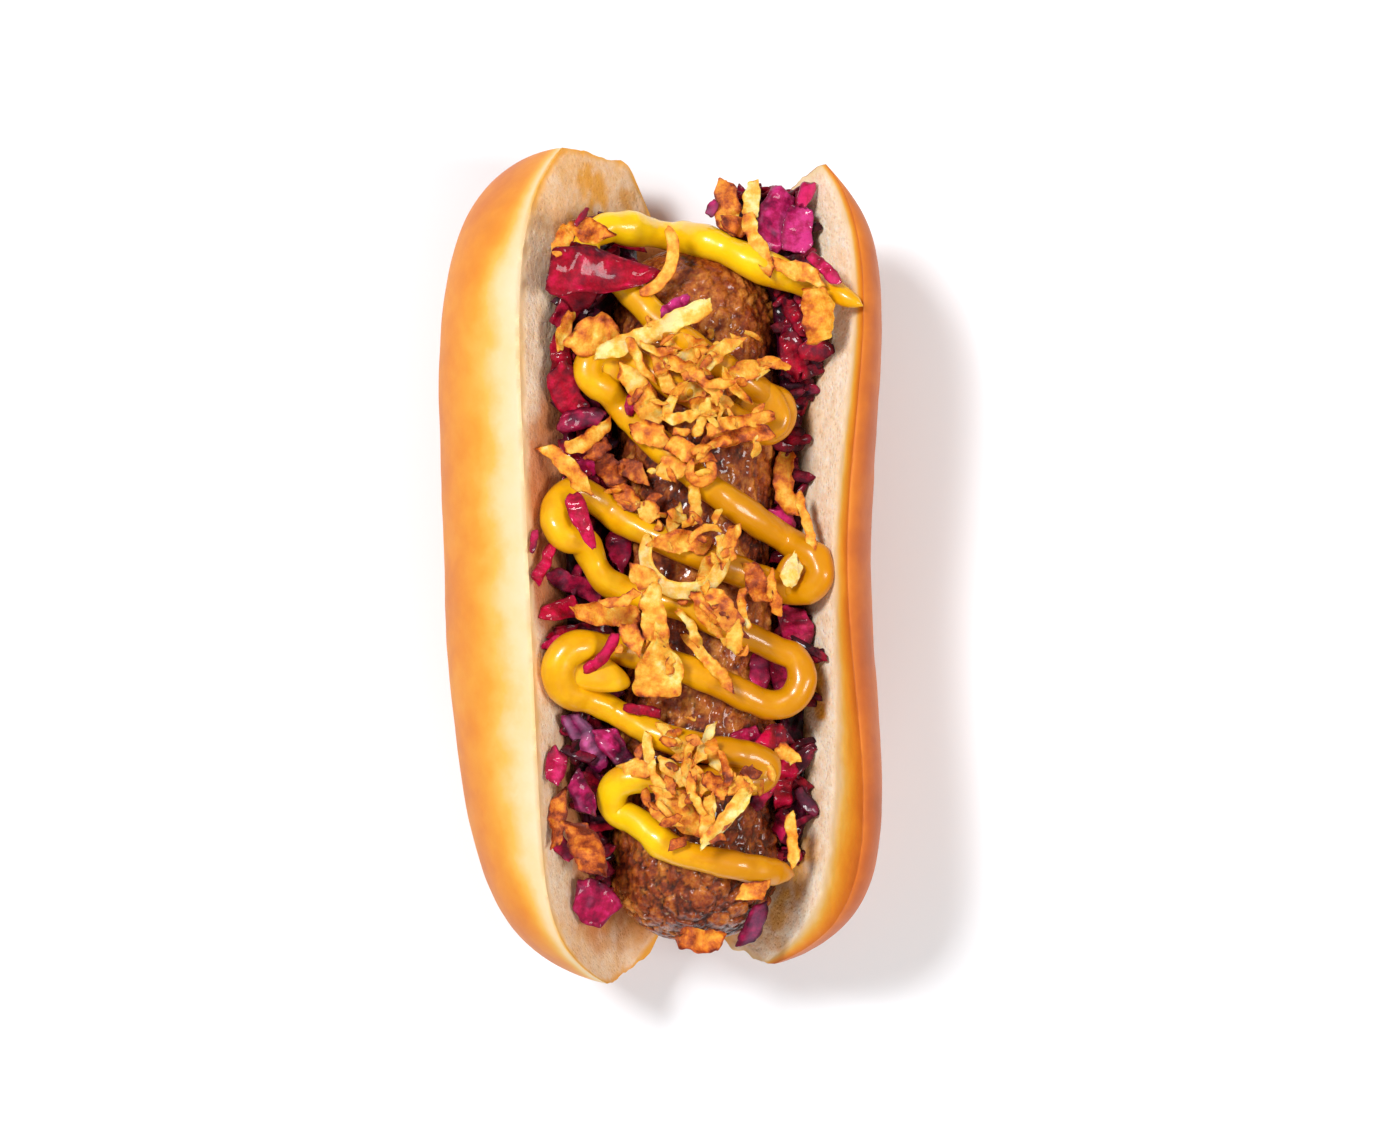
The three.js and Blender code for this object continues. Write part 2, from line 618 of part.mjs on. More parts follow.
// The route draped over the map, raised a little so that the bead only touches, and the map raised by
// the bead.
function drapeMustard(map) {
  const plan = mustardPlan();
  const count = ceil(plan.getLength() / 1.2);
  const points = plan.getSpacedPoints(count);
  const r = MUSTARD.radius;
  const rests = points.map((p) => {
    let z = 0;
    for (let dx = -r; dx <= r; dx += 0.5) {
      for (let dy = -r; dy <= r; dy += 0.5) {
        const d = hypot(dx, dy);
        if (d < r) z = max(z, map.at(p.x + dx, p.y + dy) + sqrt(r * r - d * d));
      }
    }
    return z;
  });
  points.forEach((p, k) => {
    const near = rests.slice(max(0, k - 3), k + 4);
    p.z = mix(max(...near), near.reduce((a, b) => a + b) / near.length, 0.5) + CLEARANCE;
  });
  for (const p of points) {
    for (let dx = -r; dx <= r; dx += 0.5) {
      for (let dy = -r; dy <= r; dy += 0.5) {
        const d = hypot(dx, dy);
        if (d < r) map.raise(p.x + dx, p.y + dy, p.z + sqrt(r * r - d * d));
      }
    }
  }
  return new THREE.CatmullRomCurve3(points);
}

// A cylinder laid along the route, which tapers at both ends.
function makeMustard(route, grow = 0) {
  const length = route.getLength();
  const steps = ceil(length / MUSTARD.step);
  const rod = new THREE.CylinderGeometry(1, 1, 1, MUSTARD.sides, steps);
  const up = new THREE.Vector3(0, 0, 1);
  return solidOf(
    deform(rod, (u, v, w) => {
      const t = v + 0.5;
      const fromEnd = min(t, 1 - t) * length;
      const taper = sqrt(mix(0.25, 1, min(1, fromEnd / MUSTARD.endLength)));
      const r = (MUSTARD.radius + grow) * taper;
      const along = route.getTangentAt(t);
      const side = new THREE.Vector3().crossVectors(up, along).normalize();
      const above = new THREE.Vector3().crossVectors(along, side);
      const p = route.getPointAt(t).addScaledVector(side, u * r).addScaledVector(above, -w * r);
      return p.addScaledVector(along, (fromEnd < 1e-6 ? grow : 0) * sign(v)).toArray();
    }),
  );
}

// -------------------------------------------------------------------------------------------------
// Assembly
// -------------------------------------------------------------------------------------------------

const material = (color, roughness) => new THREE.MeshStandardMaterial({ color, roughness, metalness: 0 });
const MATERIALS = {
  bun: material(0xf0a850, 0.55),
  sausage: material(0x6b3a22, 0.35),
  mustard: material(0xf0b010, 0.25),
  cabbage: material(0xa01860, 0.3),
  onion: material(0xe8a548, 0.6),
};

const hotDog = new THREE.Group();
const add = (name, solid, kind) => hotDog.add(meshOf(name, solid, MATERIALS[kind]));

const map = new HeightMap();
const under = CABBAGE_UNDER.map((shred) => drop(map, shred, CABBAGE_THICKNESS, 0.2));
const route = drapeMustard(map);
const over = CABBAGE_OVER.map((shred) => drop(map, shred, CABBAGE_THICKNESS, 0.5));
const onions = ONIONS.map((shred) => drop(map, shred, ONION_THICKNESS, -0.2));

const bun = makeBun();
const sausage = makeSausage();
const keepOut = makeBun(CLEARANCE).add(makeSausage(CLEARANCE));
add("bun", bun, "bun");
add("sausage", sausage, "sausage");

const mustardSpace = makeMustard(route, CLEARANCE);
const heaps = {};
for (const which of ["left", "right"]) {
  const pieces = under.filter(({ shred }) => (shred[0] < SAUSAGE.x) === (which === "left"));
  const heap = union([makeHeap(which), ...pieces.map((piece) => makeShred(piece))]);
  heaps[which] = bodiesOf(heap.subtract(keepOut).subtract(mustardSpace))[0];
  add(`cabbage_${which}`, heaps[which], "cabbage");
}
const mustard = bodiesOf(makeMustard(route).subtract(keepOut))[0];
add("mustard", mustard, "mustard");

// Everything that lies on the mustard and the heaps is cut clear of them.
const grown = (pieces) => union(pieces.map((piece) => makeShred(piece, CLEARANCE)));
const lower = union([keepOut, mustardSpace, grown(under), makeHeap("left"), makeHeap("right")]);
const groups = (pieces, cut) =>
  bodiesOf(union(pieces.map((piece) => makeShred(piece))).subtract(cut)).filter(
    (body) => body.volume() > SMALLEST_SCRAP,
  );
const byPlace = (a, b) => b.boundingBox().max[1] - a.boundingBox().max[1];

const leaves = groups(over, lower).sort(byPlace);
leaves.forEach((solid, k) => add(`cabbage_leaf_${k + 1}`, solid, "cabbage"));
const bunches = groups(onions, lower.add(grown(over))).sort(byPlace);
bunches.forEach((solid, k) => add(`fried_onions_${k + 1}`, solid, "onion"));

export default hotDog;
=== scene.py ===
"""Looks of the dressed hot dog: bread, sausage, mustard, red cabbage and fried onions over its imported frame.

Shapes are worked out in millimetres and turned into metres when a mesh is made. +X runs across the bun
from its domed half to its flat half, +Y along it and +Z up, as in the frame.
"""

import enum
import logging
from dataclasses import dataclass, field

import bpy
import numpy as np
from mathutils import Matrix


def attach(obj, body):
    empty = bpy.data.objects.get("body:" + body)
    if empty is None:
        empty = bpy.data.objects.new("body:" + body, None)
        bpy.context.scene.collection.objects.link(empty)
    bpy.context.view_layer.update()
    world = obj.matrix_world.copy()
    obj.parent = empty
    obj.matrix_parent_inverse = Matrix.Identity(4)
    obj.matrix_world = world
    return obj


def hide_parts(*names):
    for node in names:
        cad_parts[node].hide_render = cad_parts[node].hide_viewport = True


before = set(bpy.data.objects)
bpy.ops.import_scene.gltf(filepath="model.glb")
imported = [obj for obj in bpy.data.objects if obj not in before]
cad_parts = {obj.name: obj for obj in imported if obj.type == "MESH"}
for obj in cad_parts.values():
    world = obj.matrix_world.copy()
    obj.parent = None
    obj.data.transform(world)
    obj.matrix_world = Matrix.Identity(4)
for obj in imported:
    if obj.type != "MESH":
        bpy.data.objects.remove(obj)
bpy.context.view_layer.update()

MM = 0.001
log = logging.getLogger("hot_dog")

Array = np.ndarray
Socket = bpy.types.NodeSocket
Pair = tuple[float, float]
Triple = tuple[float, float, float]
Rows = tuple[Pair, ...]  # points of a curve that is read between them
Stops = tuple[tuple[float, str], ...]  # values and their hexadecimal colours


# ---- Numbers and surfaces ----

# Weights and factor of the hash that gives whole-number points their random numbers.
HASH_WEIGHTS = np.array([[127.1, 311.7, 74.7], [269.5, 183.3, 246.1], [113.5, 271.9, 124.6]])
HASH_FACTOR = 43758.5453

# A turn, and a shift, that keep the octaves of a relief from lining up.
TILT = np.linalg.qr(np.array([[1.0, 0.7, 0.3], [-0.5, 1.0, 0.6], [0.2, -0.4, 1.0]]))[0]
OCTAVE_SHIFT = 7.3


def lerp(a: Array | float, b: Array | float, t: Array | float) -> Array | float:
    """Straight-line mix of a and b."""
    return a + (b - a) * t


def smooth(t: Array | float) -> Array:
    """The smooth step 3t^2 - 2t^3, held at 0 and 1 outside its range."""
    t = np.clip(t, 0, 1)
    return t * t * (3 - 2 * t)


def hashed(cells: Array, weights: Array) -> Array:
    """Random numbers from 0 to 1 for whole-number points: the fraction of a large multiple of a sine."""
    h = np.sin(cells @ weights) * HASH_FACTOR
    return h - np.floor(h)


def noise(points: Array, size: float, seed: float = 0.0) -> Array:
    """Smooth random relief: values hashed at whole-number points, mixed by the smooth step between them.

    Args:
        points: (..., 3) places in mm.
        size: distance in mm between bumps.
        seed: shift that gives another relief.

    Returns:
        Values between -1 and 1.
    """
    p = points / size + seed
    cell = np.floor(p)
    t = smooth(p - cell)

    def corner(*step: int) -> Array:
        """The value at one corner of each point's cell."""
        return 2 * hashed(cell + np.array(step), HASH_WEIGHTS[0]) - 1

    def row(dy: int, dz: int) -> Array:
        """The mix along X of two corners."""
        return lerp(corner(0, dy, dz), corner(1, dy, dz), t[..., 0])

    low = lerp(row(0, 0), row(1, 0), t[..., 1])
    high = lerp(row(0, 1), row(1, 1), t[..., 1])
    return lerp(low, high, t[..., 2])


def rough(points: Array, size: float, octaves: int = 3, seed: float = 0.0) -> Array:
    """Fractal relief: octaves of noise, each half the size and height of the last, on axes turned each time.

    Args:
        points: (..., 3) places in mm.
        size: distance in mm between the largest bumps.
        octaves: how many there are.
        seed: shift that gives another relief.

    Returns:
        Values between about -1.5 and 1.5.
    """
    total = np.zeros(points.shape[:-1])
    for k in range(octaves):
        points = points @ TILT
        total += noise(points, size * 0.5**k, seed + OCTAVE_SHIFT * k) * 0.5**k
    return total


def grains(points: Array, size: float, seed: float = 0.0) -> tuple[Array, Array]:
    """Packed grains: one spot is scattered in each cell of a lattice, and each place joins the nearest spot.

    Args:
        points: (..., 3) places in mm.
        size: of a grain in mm.
        seed: shift that gives other grains.

    Returns:
        How far each place is inside its grain, 0 at the border with the next one and about 1 in its middle,
        and its grain's random number from 0 to 1.
    """
    margin, scatter, full = 0.1, 0.8, 0.7  # of a cell: the spot's least place and its range, a grain's depth
    p = points / size + seed
    cell = np.floor(p)
    first = np.full(p.shape[:-1], np.inf)
    second, number = first.copy(), np.zeros_like(first)
    for step in np.ndindex(3, 3, 3):
        near = cell + np.array(step) - 1
        h = hashed(near, HASH_WEIGHTS.T)
        distance = np.linalg.norm(p - near - margin - scatter * h, axis=-1)
        closer = distance < first
        second = np.where(closer, first, np.minimum(second, distance))
        number = np.where(closer, h[..., 0], number)
        first = np.minimum(first, distance)
    return np.clip((second - first) / full, 0, 1), number


def power_arc(t: Array, power: float) -> Array:
    """The superellipse (1 - |t|^power)^(1 / power): 1 in the middle and 0 at both ends."""
    return np.maximum(0, 1 - np.abs(t) ** power) ** (1 / power)


def signed_power(t: Array, power: float) -> Array:
    """|t|^power with the sign of t."""
    return np.sign(t) * np.abs(t) ** power


def end_spaced(count: int) -> Array:
    """Values from -1 to 1 that lie closer together towards both ends: the sine of an even spread."""
    return np.sin(np.linspace(-np.pi / 2, np.pi / 2, count))


def round_angles(count: int) -> Array:
    """Angles in radians, evenly spread once round from 0."""
    return np.arange(count) * 2 * np.pi / count


def drawn(draw: np.random.Generator, ranges: tuple[Pair, ...]) -> list[float]:
    """A random number from each range, in turn."""
    return [draw.uniform(low, high) for low, high in ranges]


@dataclass
class Surface:
    """A closed surface in mm: its points, its four- and three-sided faces, and named values at its points."""

    points: Array
    quads: Array
    triangles: Array
    values: dict[str, Array] = field(default_factory=dict)


def join(surfaces: list[Surface]) -> Surface:
    """Makes one surface of several, with the faces of each moved on past the points before it.

    Args:
        surfaces: what is joined, all with the same named values.

    Returns:
        The one surface.
    """
    starts = np.cumsum([0] + [len(s.points) for s in surfaces[:-1]])
    return Surface(
        np.concatenate([s.points for s in surfaces]),
        np.concatenate([s.quads + k for s, k in zip(surfaces, starts)]),
        np.concatenate([s.triangles + k for s, k in zip(surfaces, starts)]),
        {name: np.concatenate([s.values[name] for s in surfaces]) for name in surfaces[0].values},
    )


def closed_tube(rings: Array, values: dict[str, Array]) -> Surface:
    """A tube of rings, closed at each end by a fan round the mean of its last ring.

    Args:
        rings: (n, k, 3) points, each ring turning to the right of the way that the rings follow.
        values: (n, k) arrays of named values.

    Returns:
        The closed surface, faces outwards.
    """
    n, k = rings.shape[:2]
    i, j = np.meshgrid(np.arange(n - 1), np.arange(k), indexing="ij")
    a, b = i * k + j, i * k + (j + 1) % k
    quads = np.stack([a, b, b + k, a + k], -1).reshape(-1, 4)
    j = np.arange(k)
    ahead = (j + 1) % k
    last = (n - 1) * k
    start = np.stack([np.full(k, n * k), ahead, j], -1)
    end = np.stack([np.full(k, n * k + 1), last + j, last + ahead], -1)
    ends = [rings[0].mean(0), rings[-1].mean(0)]
    return Surface(
        np.concatenate([rings.reshape(-1, 3), ends]),
        quads,
        np.concatenate([start, end]),
        {name: np.concatenate([v.ravel(), [v[0].mean(), v[-1].mean()]]) for name, v in values.items()},
    )


def make_piece(name: str, surface: Surface, finish: "Finish", nodes: list[str]) -> bpy.types.Object:
    """Puts a surface into a mesh object at the origin, dresses it and lets it stand for its frame nodes.

    Args:
        name: the piece's name.
        surface: its shape in mm.
        finish: its material.
        nodes: the frame nodes that it stands for.

    Returns:
        The object.
    """
    mesh = bpy.data.meshes.new(name)
    points = (surface.points * MM).astype(np.float32)
    loops = np.concatenate([surface.quads.ravel(), surface.triangles.ravel()]).astype(np.int32)
    sizes = np.concatenate([np.full(len(surface.quads), 4), np.full(len(surface.triangles), 3)])
    mesh.vertices.add(len(points))
    mesh.vertices.foreach_set("co", points.ravel())
    mesh.loops.add(len(loops))
    mesh.loops.foreach_set("vertex_index", loops)
    mesh.polygons.add(len(sizes))
    mesh.polygons.foreach_set("loop_start", (np.cumsum(sizes) - sizes).astype(np.int32))
    mesh.update(calc_edges=True)
    mesh.validate()
    mesh.shade_smooth()
    for key, values in surface.values.items():
        attribute = mesh.attributes.new(key, "FLOAT", "POINT")
        attribute.data.foreach_set("value", values.astype(np.float32))
    mesh.materials.append(finish.material())
    piece = bpy.data.objects.new(name, mesh)
    bpy.context.scene.collection.objects.link(piece)
    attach(piece, "root")
    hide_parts(*nodes)
    log.info("%s: %d faces, stands for %d nodes", name, len(sizes), len(nodes))
    return piece


# ---- Finishes ----


class Slot(enum.Enum):
    """The record's material slots."""

    BREAD = "bread"
    SAUSAGE = "sausage"
    MUSTARD = "mustard"
    CABBAGE = "cabbage"
    ONION = "fried_onion"


class Blend(enum.Enum):
    """How one colour is put on another."""

    COVER = "MIX"
    STAIN = "MULTIPLY"


def linear(code: str) -> tuple[float, float, float, float]:
    """The linear colour of a hexadecimal screen colour such as 'f5a93c'."""
    channels = [int(code[k : k + 2], 16) / 255 for k in (0, 2, 4)]
    return (*(c / 12.92 if c < 0.04045 else ((c + 0.055) / 1.055) ** 2.4 for c in channels), 1.0)


@dataclass(frozen=True)
class Body:
    """How light meets a finish: at its skin, at a clear wet film over it, and inside it."""

    specular: float
    film: float = 0.0  # weight of the film
    film_roughness: float = 0.03
    inside: float = 0.0  # share of the light that goes in and comes out again
    travel: Triple = (1.0, 0.2, 0.1)  # how far red, green and blue go inside, as shares of the reach
    reach: float = 1.0


class Shader:
    """A material's node tree, with short calls for what the finishes share."""

    def __init__(self, name: str) -> None:
        """Starts a material with a principled shader and the object's own coordinates.

        Args:
            name: the material's name.
        """
        self.material = bpy.data.materials.new(name)
        self.material.use_nodes = True
        self.tree = self.material.node_tree
        self.surface = self.tree.nodes["Principled BSDF"]
        self.place = self.add("ShaderNodeTexCoord").outputs["Object"]

    def add(self, kind: str, **settings: object) -> bpy.types.Node:
        """Adds a node.

        Args:
            kind: the name of its type.
            **settings: properties that are set on it.

        Returns:
            The node.
        """
        node = self.tree.nodes.new(kind)
        for key, value in settings.items():
            setattr(node, key, value)
        return node

    def link(self, source: Socket, target: Socket) -> None:
        """Joins two sockets."""
        self.tree.links.new(source, target)

    def feed(self, socket: str, source: Socket | float | tuple[float, ...]) -> None:
        """Sets a socket of the shader to a value, or joins it to another socket.

        Args:
            socket: its name.
            source: the value or the other socket.
        """
        target = self.surface.inputs[socket]
        if isinstance(source, Socket):
            self.link(source, target)
        else:
            target.default_value = source

    def meet(self, body: Body) -> None:
        """Sets how light meets the surface.

        Args:
            body: the skin, the film and the inside.
        """
        self.feed("Specular IOR Level", body.specular)
        self.feed("Coat Weight", body.film)
        self.feed("Coat Roughness", body.film_roughness)
        self.feed("Subsurface Weight", body.inside)
        self.feed("Subsurface Radius", body.travel)
        self.feed("Subsurface Scale", body.reach * MM)

    def value(self, name: str) -> Socket:
        """One of the surface's named values."""
        return self.add("ShaderNodeAttribute", attribute_name=name).outputs["Fac"]

    def grain(self, size: float, detail: float = 3, roughness: float = 0.6) -> Socket:
        """Noise from 0 to 1.

        Args:
            size: of its bumps, in mm.
            detail: how many finer layers it has.
            roughness: how strong each finer layer is.

        Returns:
            The noise.
        """
        node = self.add("ShaderNodeTexNoise")
        node.inputs["Scale"].default_value = 1 / (size * MM)
        node.inputs["Detail"].default_value = detail
        node.inputs["Roughness"].default_value = roughness
        self.link(self.place, node.inputs["Vector"])
        return node.outputs["Fac"]

    def cells(self, size: float) -> Socket:
        """The distance from the middle of the nearest cell, for cells of about size mm.

        Args:
            size: of a cell, in mm.

        Returns:
            The distance, as a share of the size.
        """
        node = self.add("ShaderNodeTexVoronoi")
        node.inputs["Scale"].default_value = 1 / (size * MM)
        self.link(self.place, node.inputs["Vector"])
        return node.outputs["Distance"]

    def band(self, source: Socket, low: float, high: float, to: Pair = (0.0, 1.0)) -> Socket:
        """A value spread from one range to another by the smooth step, and held there.

        Args:
            source: the value.
            low: start of its range.
            high: end of its range.
            to: the new range.

        Returns:
            The new value.
        """
        node = self.add("ShaderNodeMapRange", interpolation_type="SMOOTHSTEP")
        self.link(source, node.inputs["Value"])
        for key, number in zip(("From Min", "From Max", "To Min", "To Max"), (low, high, *to)):
            node.inputs[key].default_value = number
        return node.outputs["Result"]

    def patches(
        self, size: float, to: Pair, detail: float = 3, roughness: float = 0.6, held: float = 0.3
    ) -> Socket:
        """Noise spread to a range.

        Args:
            size: of the patches, in mm.
            to: the range.
            detail: how many finer layers the noise has.
            roughness: how strong each finer layer is.
            held: the share of the noise that is held at each end of the range.

        Returns:
            The value.
        """
        return self.band(self.grain(size, detail, roughness), held, 1 - held, to)

    def combine(self, operation: str, a: Socket, b: Socket | float) -> Socket:
        """Works out a new value from two.

        Args:
            operation: the name of the sum.
            a: a value.
            b: another value, or a number.

        Returns:
            The new value.
        """
        node = self.add("ShaderNodeMath", operation=operation)
        self.link(a, node.inputs[0])
        if isinstance(b, Socket):
            self.link(b, node.inputs[1])
        else:
            node.inputs[1].default_value = b
        return node.outputs[0]

    def plus(self, a: Socket, b: Socket | float) -> Socket:
        """The sum of two values."""
        return self.combine("ADD", a, b)

    def times(self, a: Socket, b: Socket | float) -> Socket:
        """The product of two values."""
        return self.combine("MULTIPLY", a, b)

    def ramp(self, source: Socket, stops: Stops) -> Socket:
        """A colour from a value.

        Args:
            source: the value.
            stops: the colours at some values, mixed between them.

        Returns:
            The colour.
        """
        node = self.add("ShaderNodeValToRGB")
        elements = node.color_ramp.elements
        for k, (at, code) in enumerate(stops):
            element = elements[k] if k < 2 else elements.new(at)
            element.position = at
            element.color = linear(code)
        self.link(source, node.inputs["Fac"])
        return node.outputs["Color"]

    def mix(self, amount: Socket, a: Socket, b: Socket | str, blend: Blend = Blend.COVER) -> Socket:
        """Puts a colour on another by an amount.

        Args:
            amount: from 0 to 1.
            a: the colour underneath.
            b: the colour that is put on it, as a socket or in hexadecimal.
            blend: how it is put on.

        Returns:
            The colour.
        """
        node = self.add("ShaderNodeMix", data_type="RGBA", blend_type=blend.value)
        share, under, over = (node.inputs[k] for k in (0, 6, 7))
        self.link(amount, share)
        self.link(a, under)
        if isinstance(b, Socket):
            self.link(b, over)
        else:
            over.default_value = linear(b)
        return node.outputs[2]

    def bump(self, height: Socket, depth: float, strength: float) -> None:
        """Raises the surface, on top of any bump before it.

        Args:
            height: where it is raised, from 0 to 1.
            depth: how far, in mm.
            strength: how sharply that shows.
        """
        node = self.add("ShaderNodeBump")
        node.inputs["Strength"].default_value = strength
        node.inputs["Distance"].default_value = depth * MM
        self.link(height, node.inputs["Height"])
        normal = self.surface.inputs["Normal"]
        if normal.is_linked:
            self.link(normal.links[0].from_socket, node.inputs["Normal"])
        self.link(node.outputs["Normal"], normal)


class Finish:
    """A material, made once."""

    slot: Slot | None
    name: str

    def material(self) -> bpy.types.Material:
        """Finds the material, or makes it at the first call.

        Returns:
            The material.
        """
        found = bpy.data.materials.get(self.name)
        if found:
            return found
        shader = Shader(self.name)
        self.dress(shader)
        return shader.material

    def dress(self, shader: Shader) -> None:
        """Builds the node tree."""
        raise NotImplementedError


@dataclass(frozen=True)
class BreadFinish(Finish):
    """Baked crust, from pale beside the cut to brown underneath, and soft open crumb on the cut faces."""

    slot: Slot = Slot.BREAD
    name: str = "baked_bread"
    crust: Stops = (
        (0.0, "eed4b0"),
        (0.15, "eccc98"),
        (0.3, "eab452"),
        (0.42, "e89e32"),
        (0.55, "e28a24"),
        (0.68, "d27222"),
        (0.82, "bc5e24"),
        (1.0, "9c4c20"),
    )
    crumb: Stops = ((0.3, "f6d5ae"), (0.5, "fee9ce"), (0.7, "fff8ec"))
    patch: str = "eebd92"
    patch_share: float = 0.4
    # colour and strength of the painted shade in the crumb's pores
    pore: str = "b87846"
    pore_share: float = 0.14
    pore_size: float = 0.9
    juice: str = "c4704e"
    grease: str = "e89e30"
    roughness: Pair = (0.5, 0.95)  # of the crust and of the crumb
    body: Body = Body(specular=0.28, inside=0.15, travel=(1.0, 0.5, 0.2), reach=2.0)

    def dress(self, shader: Shader) -> None:
        """Mixes the crust and the crumb by the surface's crumb value, then stains both.

        Args:
            shader: the material's shader.
        """
        is_crumb = shader.value("crumb")
        colour = shader.mix(is_crumb, self.crust_colour(shader), self.crumb_colour(shader))
        shader.feed("Base Color", shader.mix(shader.value("grease"), colour, self.grease))
        shader.feed("Roughness", shader.band(is_crumb, 0, 1, self.roughness))
        shader.meet(self.body)
        pores = shader.band(shader.cells(self.pore_size), 0.1, 0.5)
        shader.bump(shader.times(shader.grain(1.3, 6, 0.75), is_crumb), depth=0.5, strength=0.55)
        shader.bump(shader.times(pores, is_crumb), depth=0.16, strength=0.5)
        shader.bump(shader.grain(3.0, 4), depth=0.14, strength=0.6)
        shader.bump(shader.grain(0.8, 4), depth=0.04, strength=0.5)

    def crust_colour(self, shader: Shader) -> Socket:
        """The crust's colour: its bake, uneven in small and in large patches.

        Args:
            shader: the material's shader.

        Returns:
            The colour.
        """
        small = shader.patches(size=9, to=(-0.05, 0.05), detail=4)
        large = shader.patches(size=26, to=(-0.05, 0.05))
        return shader.ramp(shader.plus(shader.plus(shader.value("bake"), small), large), self.crust)

    def crumb_colour(self, shader: Shader) -> Socket:
        """The crumb's colour: cream with toasted patches and painted shade in its pores, stained by juice.

        Args:
            shader: the material's shader.

        Returns:
            The colour.
        """
        colour = shader.ramp(shader.grain(1.8, 6, 0.7), self.crumb)
        toasted = shader.band(shader.grain(4.5, 5, 0.7), 0.5, 0.72)
        colour = shader.mix(shader.times(toasted, self.patch_share), colour, self.patch)
        # painted shade in the pores of the crumb
        pores = shader.band(shader.cells(self.pore_size), 0.42, 0.2)
        colour = shader.mix(shader.times(pores, self.pore_share), colour, self.pore)
        return shader.mix(shader.value("juice"), colour, self.juice, Blend.STAIN)


@dataclass(frozen=True)
class SausageFinish(Finish):
    """Coarse cooked mince under a thin film of fat."""

    slot: Slot = Slot.SAUSAGE
    name: str = "cooked_mince"
    lean: Stops = ((0.1, "3a1206"), (0.36, "8a350e"), (0.58, "b4601c"), (0.85, "dc9440"))
    fat: str = "e2ad74"
    fat_share: float = 0.6
    # colour of the painted shade in the creases between grains
    crease: str = "2a0c06"
    body: Body = Body(specular=0.3, film=0.5, film_roughness=0.1)

    def dress(self, shader: Shader) -> None:
        """Browns each grain of mince its own way, paints shade into the creases and adds a wet film.

        Args:
            shader: the material's shader.
        """
        speckle = shader.patches(size=1.3, to=(-0.14, 0.14), detail=4, roughness=0.7)
        colour = shader.ramp(shader.plus(shader.value("tone"), speckle), self.lean)
        flecks = shader.band(shader.grain(1.1), 0.64, 0.74)
        colour = shader.mix(shader.times(flecks, self.fat_share), colour, self.fat)
        # painted shade: the crease value darkens the creases between grains
        shader.feed("Base Color", shader.mix(shader.value("crease"), colour, self.crease))
        shader.feed("Roughness", shader.patches(size=2.5, to=(0.2, 0.6), held=0.35))
        shader.meet(self.body)
        shader.bump(shader.grain(0.9, 5, 0.7), depth=0.5, strength=0.8)


@dataclass(frozen=True)
class MustardFinish(Finish):
    """Smooth shiny yellow mustard."""

    slot: Slot = Slot.MUSTARD
    name: str = "yellow_mustard"
    yellows: Stops = ((0.1, "cc8600"), (0.5, "e4a404"), (0.9, "f4c60a"))
    roughness: float = 0.3
    body: Body = Body(
        specular=0.35, film=0.3, film_roughness=0.07, inside=0.15, travel=(1.0, 0.6, 0.1), reach=1.0
    )

    def dress(self, shader: Shader) -> None:
        """A yellow that deepens in patches, wet and a little cloudy inside.

        Args:
            shader: the material's shader.
        """
        tone = shader.plus(shader.value("tone"), shader.patches(size=5, to=(-0.15, 0.15)))
        shader.feed("Base Color", shader.ramp(tone, self.yellows))
        shader.feed("Roughness", self.roughness)
        shader.meet(self.body)
        shader.bump(shader.grain(1.6), depth=0.12, strength=0.4)


@dataclass(frozen=True)
class CabbageFinish(Finish):
    """Pickled red cabbage: dark skin and bright pink flesh, wet all over."""

    slot: Slot = Slot.CABBAGE
    name: str = "pickled_cabbage"
    crimson: Stops = ((0.0, "140204"), (0.25, "480414"), (0.5, "7c061c"), (0.75, "a80424"), (1.0, "d00444"))
    violet: Stops = ((0.0, "10020c"), (0.25, "3c0628"), (0.5, "6e0c44"), (0.75, "a4185e"), (1.0, "cc3c92"))
    vein: str = "d890c0"
    rim: str = "3c0618"
    rim_share: float = 0.5
    body: Body = Body(
        specular=0.12, film=0.28, film_roughness=0.07, inside=0.08, travel=(1.0, 0.05, 0.15), reach=1.2
    )

    def dress(self, shader: Shader) -> None:
        """Colours each shred by its own tone and hue, with pale veins along it and a darker rim.

        Args:
            shader: the material's shader.
        """
        streaks = shader.patches(size=1.4, to=(-0.16, 0.16), detail=4)
        # the tone value holds painted light on the ridges and painted shade in the valleys of each shred
        tone = shader.plus(shader.value("tone"), streaks)
        red, purple = shader.ramp(tone, self.crimson), shader.ramp(tone, self.violet)
        colour = shader.mix(shader.value("hue"), red, purple)
        colour = shader.mix(shader.value("vein"), colour, self.vein)
        colour = shader.mix(shader.times(shader.value("rim"), self.rim_share), colour, self.rim)
        shader.feed("Base Color", colour)
        shader.feed("Roughness", shader.patches(size=1.5, to=(0.3, 0.55), held=0.35))
        shader.meet(self.body)
        shader.bump(shader.grain(1.1, 5, 0.65), depth=0.45, strength=0.8)


